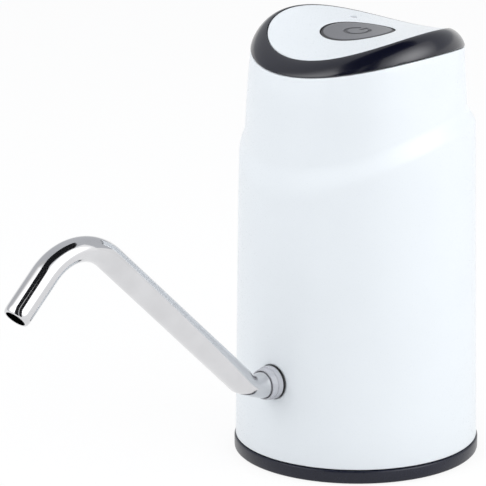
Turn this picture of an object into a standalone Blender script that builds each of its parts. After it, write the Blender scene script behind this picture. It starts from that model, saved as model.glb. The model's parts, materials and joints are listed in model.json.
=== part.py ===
"""Rechargeable pump that stands on the neck of a large water bottle and lifts the water to a bent spout.

Lengths are in metres. Every piece is modelled about the axis of the round body, and one empty moves
them all back, so that the world origin is the middle of the footprint of body and spout together.
+Z is up and the spout points to -Y."""

import math

import bmesh
import bpy
from mathutils import Matrix, Vector

# Fits and facets
GAP = 0.0003  # between neighbours that touch on the real pump
RUNNING = 0.00015  # round a turning shaft
OVERRUN = 0.002  # how far a cutter passes what it cuts
WELD = 0.000001
OUTER_SIDES = 40
MIDDLE_SIDES = 24
INNER_SIDES = 16
SMALL_SIDES = 10
WIRE_SIDES = 6
CORNER_STEPS = 3
SHARP = math.radians(35)

# Base cup: the dark ring that the pump stands on and the socket for the bottle neck
NECK_BORE = 0.0286
RING_WIDTH = 0.0104  # from the neck socket to the ring's outer side
RING_RIM = 0.0045  # from the trough in the ring to its outer side
RING_HEIGHT = 0.0042
RING_EDGE = 0.0005
FLOOR = 0.003
NECK_DEPTH = 0.021
NECK_WALL = 0.002
NECK_LEAD_IN = 0.001
DECK = 0.002
LIP_HEIGHT = 0.0033
PILLAR_RADIUS = 0.003
PILLAR_HEIGHT = 0.008
PILLAR_OUT = 0.0035  # from the plate's edge to the pillar's axis

# Housing shell
WALL = 0.0022
WALL_INSET = 0.0004  # from the ring's outer side to the wall's foot
WALL_TAPER = 0.00145  # in radius, from the foot to the shoulder
SHOULDER_LEVEL = 0.1037
SHOULDER_HEIGHT = 0.0051
SHOULDER_RISE = 0.0067
SHOULDER_BEND = math.radians(78)
SHOULDER_STEPS = 4
SHOULDER_FADE = 0.014
SHOULDER_WIDTH = 0.00205
NECK_HEIGHT = 0.02135
NECK_TAPER = 0.0017
NECK_MIDDLE_UP_SHARE = 0.4
NECK_MIDDLE_IN_SHARE = 1 / 3
RIM_RISE = 0.00265
RIM_TILT = 0.00075
RIM_FADE = 0.010

# Saddle top: cover, trim band and button
BAND_WIDTH = 0.0051
BAND_HEIGHT = 0.0056
COVER_RISE = 0.0036
COVER_TILT = 0.00094
COVER_THICKNESS = 0.0018
COVER_RINGS = 2
COVER_SPIGOT_DEPTH = 0.003
COVER_SPIGOT_WALL = 0.0017
BAND_STEPS = 5
BAND_LEDGE = 0.0021
BAND_LEDGE_THICKNESS = 0.0015
BAND_SPIGOT_DEPTH = 0.004
BAND_SPIGOT_WALL = 0.0016
BUTTON_RADIUS = 0.0115
BUTTON_EDGE = 0.0003
BUTTON_FLANGE = 0.0011
BUTTON_FLANGE_THICKNESS = 0.0009
BUTTON_SKIRT_WALL = 0.0012
BUTTON_STEM_RADIUS = 0.0022
BUTTON_RINGS = 2
BUTTON_TRAVEL = 0.0007

# Control board under the cover, with the switch, the charging socket and the status light
BOARD_DEPTH = 0.00775  # below the rim
BOARD_THICKNESS = 0.0016
BOARD_INSET = 0.0031  # from the cover's edge
BOARD_TONGUE_WIDTH = 0.012
BOARD_TONGUE_INSET = 0.0039  # from the rim
BOARD_BOSS_INSET = 0.0078  # from the cover's edge to the boss's axis
BOARD_BOSS_RADIUS = 0.0027
SWITCH_SIDE = 0.0062
SWITCH_HEIGHT = 0.0035
PLUNGER_RADIUS = 0.0017
PLUNGER_RISE = 0.0015
PLUNGER_POCKET = 0.0012
PLUNGER_TRAVEL = 0.0003
USB_WIDTH = 0.0075
USB_HEIGHT = 0.0026
USB_LENGTH = 0.0057
USB_SHEET = 0.0004
USB_SLOT_WIDTH = 0.0092
USB_SLOT_HEIGHT = 0.0042
LIGHT_X = -0.0135
LIGHT_Y = 0.0125
LIGHT_PIPE_RADIUS = 0.0011
LIGHT_PIPE_FLANGE = 0.0009
LIGHT_PIPE_FLANGE_THICKNESS = 0.001
LIGHT_RADIUS = 0.0015
LIGHT_HEIGHT = 0.0027
CHIP_LENGTH = 0.005
CHIP_WIDTH = 0.004
CHIP_HEIGHT = 0.0015
CHIP_X = 0.012
CHIP_Y = -0.011

# Spout, in the plane through the body axis and -Y
SPOUT_RADIUS = 0.0042
SPOUT_WALL = 0.0006
SPOUT_STUB = 0.01027  # from the wall to the corner of the elbow
SPOUT_ARM = 0.09735
SPOUT_RISE = math.radians(42.8)
SPOUT_DROP = 0.0328
SPOUT_FALL = math.radians(42.7)
ELBOW_BEND = 0.014
CREST_BEND = 0.0189
ELBOW_FLAT_SHARE = 0.2  # lost by the tube across the middle of the bend
CREST_FLAT_SHARE = 0.1
ELBOW_STEPS = 4
CREST_STEPS = 7
SPOUT_INSERT = 0.0087
SPOUT_SIDES = 16
COLLAR_FIT = 0.0002  # round the tube
COLLAR_FLANGE_RADIUS = 0.0053
COLLAR_FLANGE_THICKNESS = 0.0016
COLLAR_NOSE_RADIUS = 0.0049
COLLAR_LENGTH = 0.0037
COLLAR_EDGE = 0.0002
GASKET_RADIUS = 0.0054
GASKET_THICKNESS = 0.0008
SPOT_FACE_RADIUS = 0.0057
SPOT_FACE_DEPTH = 0.0006

# Outlet socket behind the wall, with its o-ring
SOCKET_SLEEVE_RADIUS = 0.006
SOCKET_RADIUS = 0.0066
SOCKET_LENGTH = 0.006
SOCKET_BOSS_RADIUS = 0.009
SOCKET_BOSS_DEPTH = 0.0014
O_RING_SECTION = 0.00065
O_RING_SETBACK = 0.003
O_RING_STEPS = 6

# Hose barbs and the two soft tubes inside
BARB_BORE = 0.0014
BARB_STEM = 0.0018
BARB_TIP = 0.0022
BARB_LENGTH = 0.0072
BARB_COUNT = 2
HOSE_WALL = 0.0012
HOSE_BEND = 0.008
HOSE_DROP = 0.0151  # from the pump down to the socket's axis
HOSE_STEPS = 5
HOSE_SIDES = 12
NIPPLE_FLANGE_RADIUS = 0.006
NIPPLE_FLANGE = 0.0017
INTAKE_BARB_STEM = 0.0034
INTAKE_BARB_TIP = 0.004
INTAKE_BARB_LENGTH = 0.011
INTAKE_BARB_COUNT = 3
NECK_SEAL_WIDTH = 0.0037
NECK_SEAL_THICKNESS = 0.0013
NECK_SEAL_LIP = 0.0012
NECK_SEAL_LIP_WIDTH = 0.0014

# Gear pump
GEAR_TEETH = 10
GEAR_MODULE = 0.001
GEAR_PRESSURE = math.radians(28)
GEAR_ADDENDUM_SHARE = 0.85
GEAR_DEDENDUM_SHARE = 1.15
GEAR_BACKLASH = 0.00018
GEAR_SPREAD = 0.0001
GEAR_FLANK_STEPS = 2
GEAR_WIDTH = 0.006
SHAFT_RADIUS = 0.001
PORT_OFFSET = 0.0055
PORT_POCKET_RADIUS = 0.0025
PORT_POCKET_DEPTH = 0.003
PORT_POCKET_SHIFT = 0.0005
PUMP_WIDTH = 0.028
PUMP_LENGTH = 0.025
PUMP_CORNER = 0.004
PUMP_COVER_THICKNESS = 0.003
PUMP_BODY_HEIGHT = 0.015
PUMP_SCREW_INSET = 0.0028  # from each side of the pump to the screw's axis
SEAL_RADIUS = 0.0033
SEAL_HEIGHT = 0.0028

# Motor
MOTOR_RADIUS = 0.0122
MOTOR_LENGTH = 0.0308
MOTOR_CAN_WALL = 0.001
MOTOR_CAN_EDGE = 0.0008
MOTOR_SCREW_OFFSET = 0.0085
MAGNET_THICKNESS = 0.0018
MAGNET_HEIGHT = 0.021
MAGNET_ARC = math.radians(118)
MAGNET_STEPS = 7
MAGNET_LIFT = 0.0045
ROTOR_RADIUS = 0.0086
ROTOR_SLOT_RADIUS = 0.005
ROTOR_HEIGHT = 0.017
ROTOR_LIFT = 0.0065
ROTOR_POLES = 3
ROTOR_POLE_ARC = math.radians(104)
ROTOR_POLE_STEPS = 5
COMMUTATOR_RADIUS = 0.0028
COMMUTATOR_HEIGHT = 0.0035
END_BELL_PLUG = 0.002
END_BELL_THICKNESS = 0.0025
END_BELL_HUB_RADIUS = 0.0032
END_BELL_HUB_HEIGHT = 0.0016
TERMINAL_WIDTH = 0.0024
TERMINAL_SHEET = 0.0005
TERMINAL_HEIGHT = 0.0045
TERMINAL_SPREAD = 0.0062

# Chassis and battery
BATTERY_BACK_ROOM = 0.00375  # from the cell to the housing, for the clips
BATTERY_FRONT_ROOM = 0.0022  # from the plate to the cell
MOTOR_ROOM = 0.0019  # from the plate to the motor
PLATE_THICKNESS = 0.002
PLATE_WIDTH = 0.040
PLATE_TOP = 0.100
SHELF_THICKNESS = 0.0024
SHELF_MARGIN = 0.0016
GUSSET_THICKNESS = 0.0018
GUSSET_DEPTH = 0.010
GUSSET_HEIGHT = 0.020
FOOT_THICKNESS = 0.0022
FOOT_LENGTH = 0.008
FOOT_END = 0.0035
BATTERY_RADIUS = 0.0092
BATTERY_LENGTH = 0.065
BATTERY_EDGE = 0.0006
BATTERY_GROOVE_DROP = 0.0032
BATTERY_GROOVE = 0.0004
BATTERY_GROOVE_HEIGHT = 0.0012
BATTERY_NUB_RADIUS = 0.003
BATTERY_NUB_HEIGHT = 0.0008
TAB_WIDTH = 0.004
TAB_SHEET = 0.0004
TAB_OUT = 0.0049  # from the cell's side to the end of the lower tab
TAB_SHORT_REACH = 0.005
CRADLE_FLOOR = 0.002
CLIP_WALL = 0.0026
CLIP_HEIGHT = 0.006
CLIP_ARC = math.radians(220)
CLIP_STEPS = 9
CLIP_LEVELS = (0.040, 0.076)

# Screws: head radius, head height, shank radius, shank length
BASE_SCREW = (0.0024, 0.0014, 0.0013, 0.0095)
BASE_SCREW_INSET = 0.005  # from the ring's outer side to the screw's axis
BASE_SCREW_ANGLES = (math.radians(30), math.radians(150), math.radians(270))
BASE_SCREW_SINK = 0.0003
BASE_BOSS_RADIUS = 0.0029
BASE_BOSS_HEIGHT = 0.015
PUMP_SCREW = (0.002, 0.0013, 0.0011, 0.0125)
MOTOR_SCREW = (0.0019, 0.0012, 0.0009, 0.0062)
CHASSIS_SCREW = (0.0022, 0.0014, 0.0011, 0.007)
BOARD_SCREW = (0.0019, 0.0012, 0.0009, 0.0055)

# Wires
WIRE_RADIUS = 0.0007
WIRE_STEPS = 3
WIRE_STRAIGHT = 0.004
WIRE_BEND = 0.004

# Radii that follow from the sizes above, from the neck socket out to the ring and in to the cover
RING_RADIUS = NECK_BORE + RING_WIDTH
RING_INNER_RADIUS = RING_RADIUS - RING_RIM
BASE_SCREW_CIRCLE = RING_RADIUS - BASE_SCREW_INSET
WALL_FOOT_RADIUS = RING_RADIUS - WALL_INSET
WALL_TOP_RADIUS = WALL_FOOT_RADIUS - WALL_TAPER
NECK_FOOT_RADIUS = WALL_TOP_RADIUS - SHOULDER_WIDTH
RIM_RADIUS = NECK_FOOT_RADIUS - NECK_TAPER
COVER_RADIUS = RIM_RADIUS - BAND_WIDTH
BOARD_RADIUS = COVER_RADIUS - BOARD_INSET
BOARD_TONGUE_REACH = RIM_RADIUS - BOARD_TONGUE_INSET
BOARD_BOSS_X = COVER_RADIUS - BOARD_BOSS_INSET

# Levels and places that follow from the sizes above
RIM_LEVEL = SHOULDER_LEVEL + SHOULDER_HEIGHT + NECK_HEIGHT
COVER_LEVEL = RIM_LEVEL + BAND_HEIGHT
BOARD_LEVEL = RIM_LEVEL - BOARD_DEPTH
BATTERY_Y = WALL_TOP_RADIUS - WALL - BATTERY_BACK_ROOM - BATTERY_RADIUS
TAB_LONG_REACH = BATTERY_RADIUS + TAB_OUT
PLATE_BACK = BATTERY_Y - BATTERY_RADIUS - BATTERY_FRONT_ROOM
PLATE_Y = PLATE_BACK - PLATE_THICKNESS
PILLAR_X = PLATE_WIDTH / 2 + PILLAR_OUT
PILLAR_Y = PLATE_Y + PLATE_THICKNESS / 2
DECK_TOP = NECK_DEPTH + DECK
SPOUT_LEVEL = DECK_TOP + GAP + SOCKET_RADIUS
SHELF_LEVEL = SPOUT_LEVEL + HOSE_DROP
HOUSING_FOOT = RING_HEIGHT + GAP
LIP_RADIUS = WALL_FOOT_RADIUS - WALL - GAP
SHELF_TOP = SHELF_LEVEL + SHELF_THICKNESS
PUMP_COVER_FOOT = SHELF_TOP + GAP
PUMP_BODY_FOOT = PUMP_COVER_FOOT + PUMP_COVER_THICKNESS + GAP
PUMP_TOP = PUMP_BODY_FOOT + PUMP_BODY_HEIGHT
GEAR_FOOT = PUMP_BODY_FOOT + GAP
CHAMBER_DEPTH = GEAR_WIDTH + GAP + GAP
GEAR_CENTRES = GEAR_MODULE * GEAR_TEETH + GEAR_SPREAD
GEAR_TIP = GEAR_MODULE * (GEAR_TEETH / 2 + GEAR_ADDENDUM_SHARE)
GEAR_ROOT = GEAR_MODULE * (GEAR_TEETH / 2 - GEAR_DEDENDUM_SHARE)
PUMP_Y = PLATE_Y - MOTOR_ROOM - MOTOR_RADIUS
INLET_Y = PUMP_Y + PORT_OFFSET
DRIVE = Vector((-GEAR_CENTRES / 2, PUMP_Y, 0))
IDLER = Vector((GEAR_CENTRES / 2, PUMP_Y, 0))
OUTLET_Y = PUMP_Y - PORT_OFFSET
MOTOR_FOOT = PUMP_TOP + GAP
MOTOR_TOP = MOTOR_FOOT + MOTOR_LENGTH
HOSE_BORE = BARB_TIP + GAP
HOSE_RADIUS = HOSE_BORE + HOSE_WALL
BOARD_TOP = BOARD_LEVEL + BOARD_THICKNESS
SWITCH_FOOT = BOARD_TOP + GAP
SWITCH_TOP = SWITCH_FOOT + SWITCH_HEIGHT
PLUNGER_TOP = SWITCH_TOP + PLUNGER_RISE
BUTTON_STEM_FOOT = PLUNGER_TOP + BUTTON_TRAVEL - PLUNGER_TRAVEL + GAP / 3
COVER_UNDERSIDE = COVER_LEVEL - COVER_THICKNESS
FOOT_LEVEL = DECK_TOP + PILLAR_HEIGHT + GAP
CRADLE_TOP = DECK_TOP + GAP + CRADLE_FLOOR
LOWER_TAB = CRADLE_TOP + GAP
BATTERY_FOOT = LOWER_TAB + TAB_SHEET + GAP
BATTERY_TOP = BATTERY_FOOT + BATTERY_LENGTH
UPPER_TAB = BATTERY_TOP + BATTERY_NUB_HEIGHT + GAP

# Along the spout's socket, outwards from the body axis
WALL_AT_SPOUT = WALL_FOOT_RADIUS + (WALL_TOP_RADIUS - WALL_FOOT_RADIUS) * (
    (SPOUT_LEVEL - HOUSING_FOOT) / (SHOULDER_LEVEL - HOUSING_FOOT)
)
SPOT_FACE = WALL_AT_SPOUT - SPOT_FACE_DEPTH
GASKET_BACK = SPOT_FACE + GAP
COLLAR_BACK = GASKET_BACK + GASKET_THICKNESS + GAP
SPOUT_END = COLLAR_BACK - GAP - SPOUT_INSERT
WALL_INNER_FACE = WALL_AT_SPOUT - WALL
BOSS_INNER_FACE = WALL_INNER_FACE - SOCKET_BOSS_DEPTH
SOCKET_FRONT = BOSS_INNER_FACE - GAP
SOCKET_BACK = SOCKET_FRONT - SOCKET_LENGTH
SPOUT_BORE = SPOUT_RADIUS - SPOUT_WALL
SOCKET_BORE = SPOUT_RADIUS + GAP
O_RING_CENTRE = SOCKET_BORE + O_RING_SECTION
SPOUT_ELBOW_REACH = WALL_AT_SPOUT + SPOUT_STUB
CREST_REACH = SPOUT_ELBOW_REACH + SPOUT_ARM * math.cos(SPOUT_RISE)
CREST_LEVEL = SPOUT_LEVEL + SPOUT_ARM * math.sin(SPOUT_RISE)
MOUTH_REACH = CREST_REACH + SPOUT_DROP * math.cos(SPOUT_FALL)
MOUTH_LEVEL = CREST_LEVEL - SPOUT_DROP * math.sin(SPOUT_FALL)
FRONT_REACH = MOUTH_REACH + SPOUT_RADIUS * math.sin(SPOUT_FALL)
AXIS_BACK = (FRONT_REACH - RING_RADIUS) / 2

# Turns a shape drawn in X and Y and extruded along Z to one drawn in Y and Z and extruded along X
UPRIGHT = Matrix(((0, 0, 1, 0), (1, 0, 0, 0), (0, 1, 0, 0), (0, 0, 0, 1)))

# Colour, metallic value and roughness of each finish
FINISHES = {
    "white_shell": ((0.86, 0.87, 0.91), 0.0, 0.25),
    "dark_gloss": ((0.02, 0.022, 0.03), 0.0, 0.15),
    "grey_button": ((0.22, 0.22, 0.235), 0.4, 0.35),
    "clear_pipe": ((0.75, 0.78, 0.8), 0.0, 0.1),
    "steel": ((0.72, 0.72, 0.74), 1.0, 0.18),
    "grey_plastic": ((0.55, 0.56, 0.6), 0.0, 0.35),
    "black_rubber": ((0.02, 0.02, 0.022), 0.0, 0.6),
    "silicone": ((0.75, 0.76, 0.76), 0.0, 0.5),
    "black_plastic": ((0.03, 0.03, 0.032), 0.0, 0.45),
    "white_plastic": ((0.8, 0.8, 0.78), 0.0, 0.45),
    "zinc_steel": ((0.55, 0.55, 0.56), 1.0, 0.35),
    "brass": ((0.75, 0.55, 0.25), 1.0, 0.3),
    "magnet": ((0.08, 0.08, 0.085), 0.3, 0.5),
    "copper": ((0.7, 0.32, 0.15), 1.0, 0.3),
    "battery_wrap": ((0.05, 0.25, 0.5), 0.0, 0.35),
    "board_green": ((0.02, 0.22, 0.09), 0.0, 0.4),
    "wire_red": ((0.6, 0.02, 0.02), 0.0, 0.5),
    "wire_black": ((0.02, 0.02, 0.02), 0.0, 0.5),
}


def clear_scene():
    for old in list(bpy.data.objects):
        bpy.data.objects.remove(old, do_unlink=True)


def finish_of(name):
    """The material of a named finish, made the first time it is asked for."""
    found = bpy.data.materials.get(name)
    if found:
        return found
    colour, metallic, roughness = FINISHES[name]
    made = bpy.data.materials.new(name)
    made.use_nodes = True
    shader = made.node_tree.nodes["Principled BSDF"]
    shader.inputs["Base Color"].default_value = (*colour, 1)
    shader.inputs["Metallic"].default_value = metallic
    shader.inputs["Roughness"].default_value = roughness
    return made


def add_object(name, shape, origin):
    """An object on the body axis whose mesh is the shape and whose own origin is the given point."""
    shape.transform(Matrix.Translation(-origin))
    bmesh.ops.recalc_face_normals(shape, faces=shape.faces)
    mesh = bpy.data.meshes.new(name)
    shape.to_mesh(mesh)
    shape.free()
    made = bpy.data.objects.new(name, mesh)
    bpy.context.scene.collection.objects.link(made)
    made.parent = bpy.data.objects["pump_axis"]
    made.location = origin
    return made


def piece(name, shape, finish, origin=None, add=None, cut=None):
    """One piece of the pump. Shapes in add are joined to it, and those in cut are taken out of it."""
    made = add_object(name, shape, origin or Vector())
    made.data.materials.append(finish_of(finish))
    for operation, helpers in (("UNION", add or ()), ("DIFFERENCE", cut or ())):
        for number, helper_shape in enumerate(helpers, start=1):
            helper = add_object(f"{name}_{operation.lower()}_{number}", helper_shape, Vector())
            helper.hide_render = True
            helper.display_type = "WIRE"
            boolean = made.modifiers.new(helper.name, "BOOLEAN")
            boolean.operation = operation
            boolean.object = helper
            boolean.solver = "EXACT"
            boolean.use_self = True
    made.data.shade_smooth()
    made.data.set_sharp_from_angle(angle=SHARP)
    return made


def turned(profile, sides):
    """A closed profile of (radius, height) points, turned about Z. Points may lie on the axis."""
    shape = bmesh.new()
    verts = [shape.verts.new((radius, 0, height)) for radius, height in profile]
    edges = [
        shape.edges.new((a, b))
        for a, b in zip(verts, verts[1:] + verts[:1])
        if a.co.x > WELD or b.co.x > WELD
    ]
    bmesh.ops.spin(
        shape,
        geom=verts + edges,
        axis=(0, 0, 1),
        cent=(0, 0, 0),
        steps=sides,
        angle=math.tau,
        use_merge=True,
    )
    bmesh.ops.remove_doubles(shape, verts=shape.verts, dist=WELD)
    return shape


def moved(shape, x=0.0, y=0.0, z=0.0):
    bmesh.ops.translate(shape, verts=shape.verts, vec=(x, y, z))
    return shape


def outward(shape):
    """Turns a shape made along +Z so that it runs outwards along the spout's socket."""
    turn = Matrix.Rotation(math.pi / 2, 4, "X")
    shape.transform(Matrix.Translation((0, 0, SPOUT_LEVEL)) @ turn)
    return shape


def rod(radius, low, high, sides, x=0.0, y=0.0):
    return moved(turned([(0, low), (radius, low), (radius, high), (0, high)], sides), x, y)


def ring(inner, outer, low, high, sides):
    return turned([(inner, low), (outer, low), (outer, high), (inner, high)], sides)


def block(low, high):
    """A box between two corners."""
    low, high = Vector(low), Vector(high)
    shape = bmesh.new()
    bmesh.ops.create_cube(shape, size=1)
    bmesh.ops.scale(shape, verts=shape.verts, vec=high - low)
    bmesh.ops.translate(shape, verts=shape.verts, vec=(low + high) / 2)
    return shape


def prism(outline, low, high):
    """An outline of (x, y) points, extruded between two heights."""
    shape = bmesh.new()
    face = shape.faces.new([shape.verts.new((x, y, low)) for x, y in outline])
    raised = bmesh.ops.extrude_face_region(shape, geom=[face])["geom"]
    top = [item for item in raised if isinstance(item, bmesh.types.BMVert)]
    bmesh.ops.translate(shape, verts=top, vec=(0, 0, high - low))
    return shape


def joined(*shapes):
    """Several closed shapes held in one bmesh, still as separate bodies."""
    first = shapes[0]
    for other in shapes[1:]:
        mesh = bpy.data.meshes.new("joining")
        other.to_mesh(mesh)
        other.free()
        first.from_mesh(mesh)
        bpy.data.meshes.remove(mesh)
    return first


def arc(radius, start, end, steps, centre=(0, 0)):
    """Points on an arc, both ends included."""
    angles = [start + (end - start) * step / steps for step in range(steps + 1)]
    return [(centre[0] + radius * math.cos(a), centre[1] + radius * math.sin(a)) for a in angles]


def rounded_rectangle(width, length, corner, steps, y=0.0):
    """The outline of a rectangle with round corners, centred on X and at the given Y."""
    points = []
    for quarter, (side_x, side_y) in enumerate(((1, 1), (-1, 1), (-1, -1), (1, -1))):
        centre = (side_x * (width / 2 - corner), y + side_y * (length / 2 - corner))
        start = quarter * math.pi / 2
        points += arc(corner, start, start + math.pi / 2, steps, centre)
    return points


def arc_wall(inner, outer, span, steps, middle, low, high):
    """A wall along part of a circle, centred on the direction middle."""
    start, end = middle - span / 2, middle + span / 2
    outline = arc(outer, start, end, steps) + arc(inner, end, start, steps)
    return prism(outline, low, high)


def rounded_route(corners, radii, steps):
    """A route through corner points, with each inner corner rounded to its own radius."""
    route = [Vector(corners[0])]
    for number, (radius, count) in enumerate(zip(radii, steps), start=1):
        before, corner, after = (Vector(c) for c in corners[number - 1 : number + 2])
        back = (before - corner).normalized()
        ahead = (after - corner).normalized()
        half = back.angle(ahead) / 2
        centre = corner + (back + ahead).normalized() * (radius / math.sin(half))
        start = corner + back * (radius / math.tan(half)) - centre
        end = corner + ahead * (radius / math.tan(half)) - centre
        sweep = start.angle(end)
        for step in range(count + 1):
            share = step / count
            blend = start * math.sin((1 - share) * sweep) + end * math.sin(share * sweep)
            route.append(centre + blend / math.sin(sweep))
    return route + [Vector(corners[-1])]


def bend_flats(shares, steps):
    """For each point of a rounded route, the share of its width that a tube loses there in the bends."""
    flats = [0]
    for share, count in zip(shares, steps):
        flats += [share * math.sin(math.pi * step / count) for step in range(count + 1)]
    return flats + [0]


def swept(route, outer, inner, sides, flats=None):
    """A tube along a route, open at both ends, or a solid rod where inner is zero.

    Flats makes the tube narrower in the plane of Y and Z at each point of the route."""
    shape = bmesh.new()
    ahead = (route[1] - route[0]).normalized()
    side = ahead.orthogonal().normalized()
    stations = []
    for number, point in enumerate(route):
        before = route[max(number - 1, 0)]
        after = route[min(number + 1, len(route) - 1)]
        turn = ahead.rotation_difference((after - before).normalized())
        ahead, side = (after - before).normalized(), turn @ side
        other = ahead.cross(side)
        across = ahead.cross(Vector((1, 0, 0)))
        circles = []
        for radius in (outer, inner) if inner else (outer,):
            circle = []
            for a in (math.tau * n / sides for n in range(sides)):
                offset = radius * (math.cos(a) * side + math.sin(a) * other)
                if flats:
                    offset -= across * (offset.dot(across) * flats[number])
                circle.append(shape.verts.new(point + offset))
            circles.append(circle)
        stations.append(circles)
    for wall in range(len(stations[0])):
        for here, there in zip(stations, stations[1:]):
            bridge(shape, here[wall], there[wall])
    for end in (stations[0], stations[-1]):
        if inner:
            bridge(shape, end[0], end[1])
        else:
            shape.faces.new(end[0])
    return shape


def bridge(shape, first, second):
    """Faces between two circles with the same number of points."""
    for number in range(len(first)):
        after = (number + 1) % len(first)
        shape.faces.new((first[number], first[after], second[after], second[number]))


def barb_profile(stem, tip, low, high, count):
    """The outer side of a hose barb from low to high, its teeth steepest towards low."""
    pitch = (high - low) / count
    points = []
    for number in range(count):
        foot = high - number * pitch
        points += [(stem, foot), (tip, foot - pitch / 2), (stem, foot - pitch)]
    return points


def screw_shape(sizes, low, downwards=False):
    """A plain screw whose head starts at low. Its shank points up, or down if asked."""
    head, height, shank, length = sizes
    way = -1 if downwards else 1
    profile = [
        (0, low),
        (head, low),
        (head, low + way * height),
        (shank, low + way * height),
        (shank, low + way * (height + length)),
        (0, low + way * (height + length)),
    ]
    return turned(profile, SMALL_SIDES)


def smooth_step(value):
    value = min(max(value, 0.0), 1.0)
    return value * value * (3 - 2 * value)


def lift(x, y, z):
    """How far the tilted shoulder and the saddle top raise a point of the straight turned shapes."""
    start, end = SHOULDER_LEVEL, SHOULDER_LEVEL + SHOULDER_HEIGHT
    near = smooth_step((z - start + SHOULDER_FADE) / SHOULDER_FADE)
    near *= smooth_step((end + SHOULDER_FADE - z) / SHOULDER_FADE)
    tilt = near * SHOULDER_RISE * y / WALL_TOP_RADIUS
    band_foot = RIM_LEVEL + GAP
    level = min(max((z - band_foot) / (COVER_LEVEL - band_foot), 0.0), 1.0)
    rim_bow = RIM_RISE / RIM_RADIUS**2
    cover_bow = COVER_RISE / COVER_RADIUS**2
    bow = rim_bow + (cover_bow - rim_bow) * level
    lean = RIM_TILT / RIM_RADIUS
    lean += (COVER_TILT / COVER_RADIUS - lean) * level
    fade = smooth_step((z - RIM_LEVEL + RIM_FADE) / RIM_FADE)
    return tilt + fade * (bow * (x * x - y * y) + lean * y)


def saddled(shape):
    """Bends a turned shape to the tilted shoulder and the saddle top."""
    for vert in shape.verts:
        vert.co.z += lift(*vert.co)
    return shape


def radial_points(start, end, count, height):
    """Points along a radius at one height, both ends included, so that a disc can follow the saddle."""
    return [(start + (end - start) * n / count, height) for n in range(count + 1)]


def make_base_cup():
    profile = [
        (NECK_BORE + NECK_LEAD_IN, 0),
        (RING_RADIUS - RING_EDGE, 0),
        (RING_RADIUS, RING_EDGE),
        (RING_RADIUS, RING_HEIGHT - RING_EDGE),
        (RING_RADIUS - RING_EDGE, RING_HEIGHT),
        (LIP_RADIUS, RING_HEIGHT),
        (LIP_RADIUS, RING_HEIGHT + LIP_HEIGHT),
        (RING_INNER_RADIUS, RING_HEIGHT + LIP_HEIGHT),
        (RING_INNER_RADIUS, FLOOR),
        (NECK_BORE + NECK_WALL, FLOOR),
        (NECK_BORE + NECK_WALL, DECK_TOP),
        (0, DECK_TOP),
        (0, NECK_DEPTH),
        (NECK_BORE, NECK_DEPTH),
        (NECK_BORE, NECK_LEAD_IN),
    ]
    head, height, shank, _ = BASE_SCREW
    sink = BASE_SCREW_SINK + height + GAP
    holes = []
    for angle in BASE_SCREW_ANGLES:
        bore = [
            (0, -OVERRUN),
            (head + GAP, -OVERRUN),
            (head + GAP, sink),
            (shank + GAP, sink),
            (shank + GAP, RING_HEIGHT),
            (BASE_BOSS_RADIUS + GAP, RING_HEIGHT),
            (BASE_BOSS_RADIUS + GAP, RING_HEIGHT + LIP_HEIGHT + OVERRUN),
            (0, RING_HEIGHT + LIP_HEIGHT + OVERRUN),
        ]
        x, y = BASE_SCREW_CIRCLE * math.cos(angle), BASE_SCREW_CIRCLE * math.sin(angle)
        holes.append(moved(turned(bore, SMALL_SIDES), x, y))
    top = DECK_TOP + PILLAR_HEIGHT
    pillars = [
        rod(PILLAR_RADIUS, DECK_TOP - DECK / 2, top, INNER_SIDES, x, PILLAR_Y)
        for x in (-PILLAR_X, PILLAR_X)
    ]
    shank, length = CHASSIS_SCREW[2:]
    holes += [
        rod(shank + GAP, top - length, top + OVERRUN, SMALL_SIDES, x, PILLAR_Y)
        for x in (-PILLAR_X, PILLAR_X)
    ]
    nipple_hole = rod(
        INTAKE_BARB_TIP + GAP, NECK_DEPTH - OVERRUN, DECK_TOP + OVERRUN, INNER_SIDES, y=INLET_Y
    )
    cup = turned(profile, OUTER_SIDES)
    piece(
        "base_cup",
        cup,
        "dark_gloss",
        add=[joined(*pillars)],
        cut=[joined(*holes, nipple_hole)],
    )


def shoulder_points():
    """The convex shoulder that turns the wall in towards the neck."""
    step_in = WALL_TOP_RADIUS - NECK_FOOT_RADIUS
    points = []
    for step in range(SHOULDER_STEPS + 1):
        angle = SHOULDER_BEND * step / SHOULDER_STEPS
        share_in = (1 - math.cos(angle)) / (1 - math.cos(SHOULDER_BEND))
        share_up = math.sin(angle) / math.sin(SHOULDER_BEND)
        points.append(
            (WALL_TOP_RADIUS - step_in * share_in, SHOULDER_LEVEL + SHOULDER_HEIGHT * share_up)
        )
    return points


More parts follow.
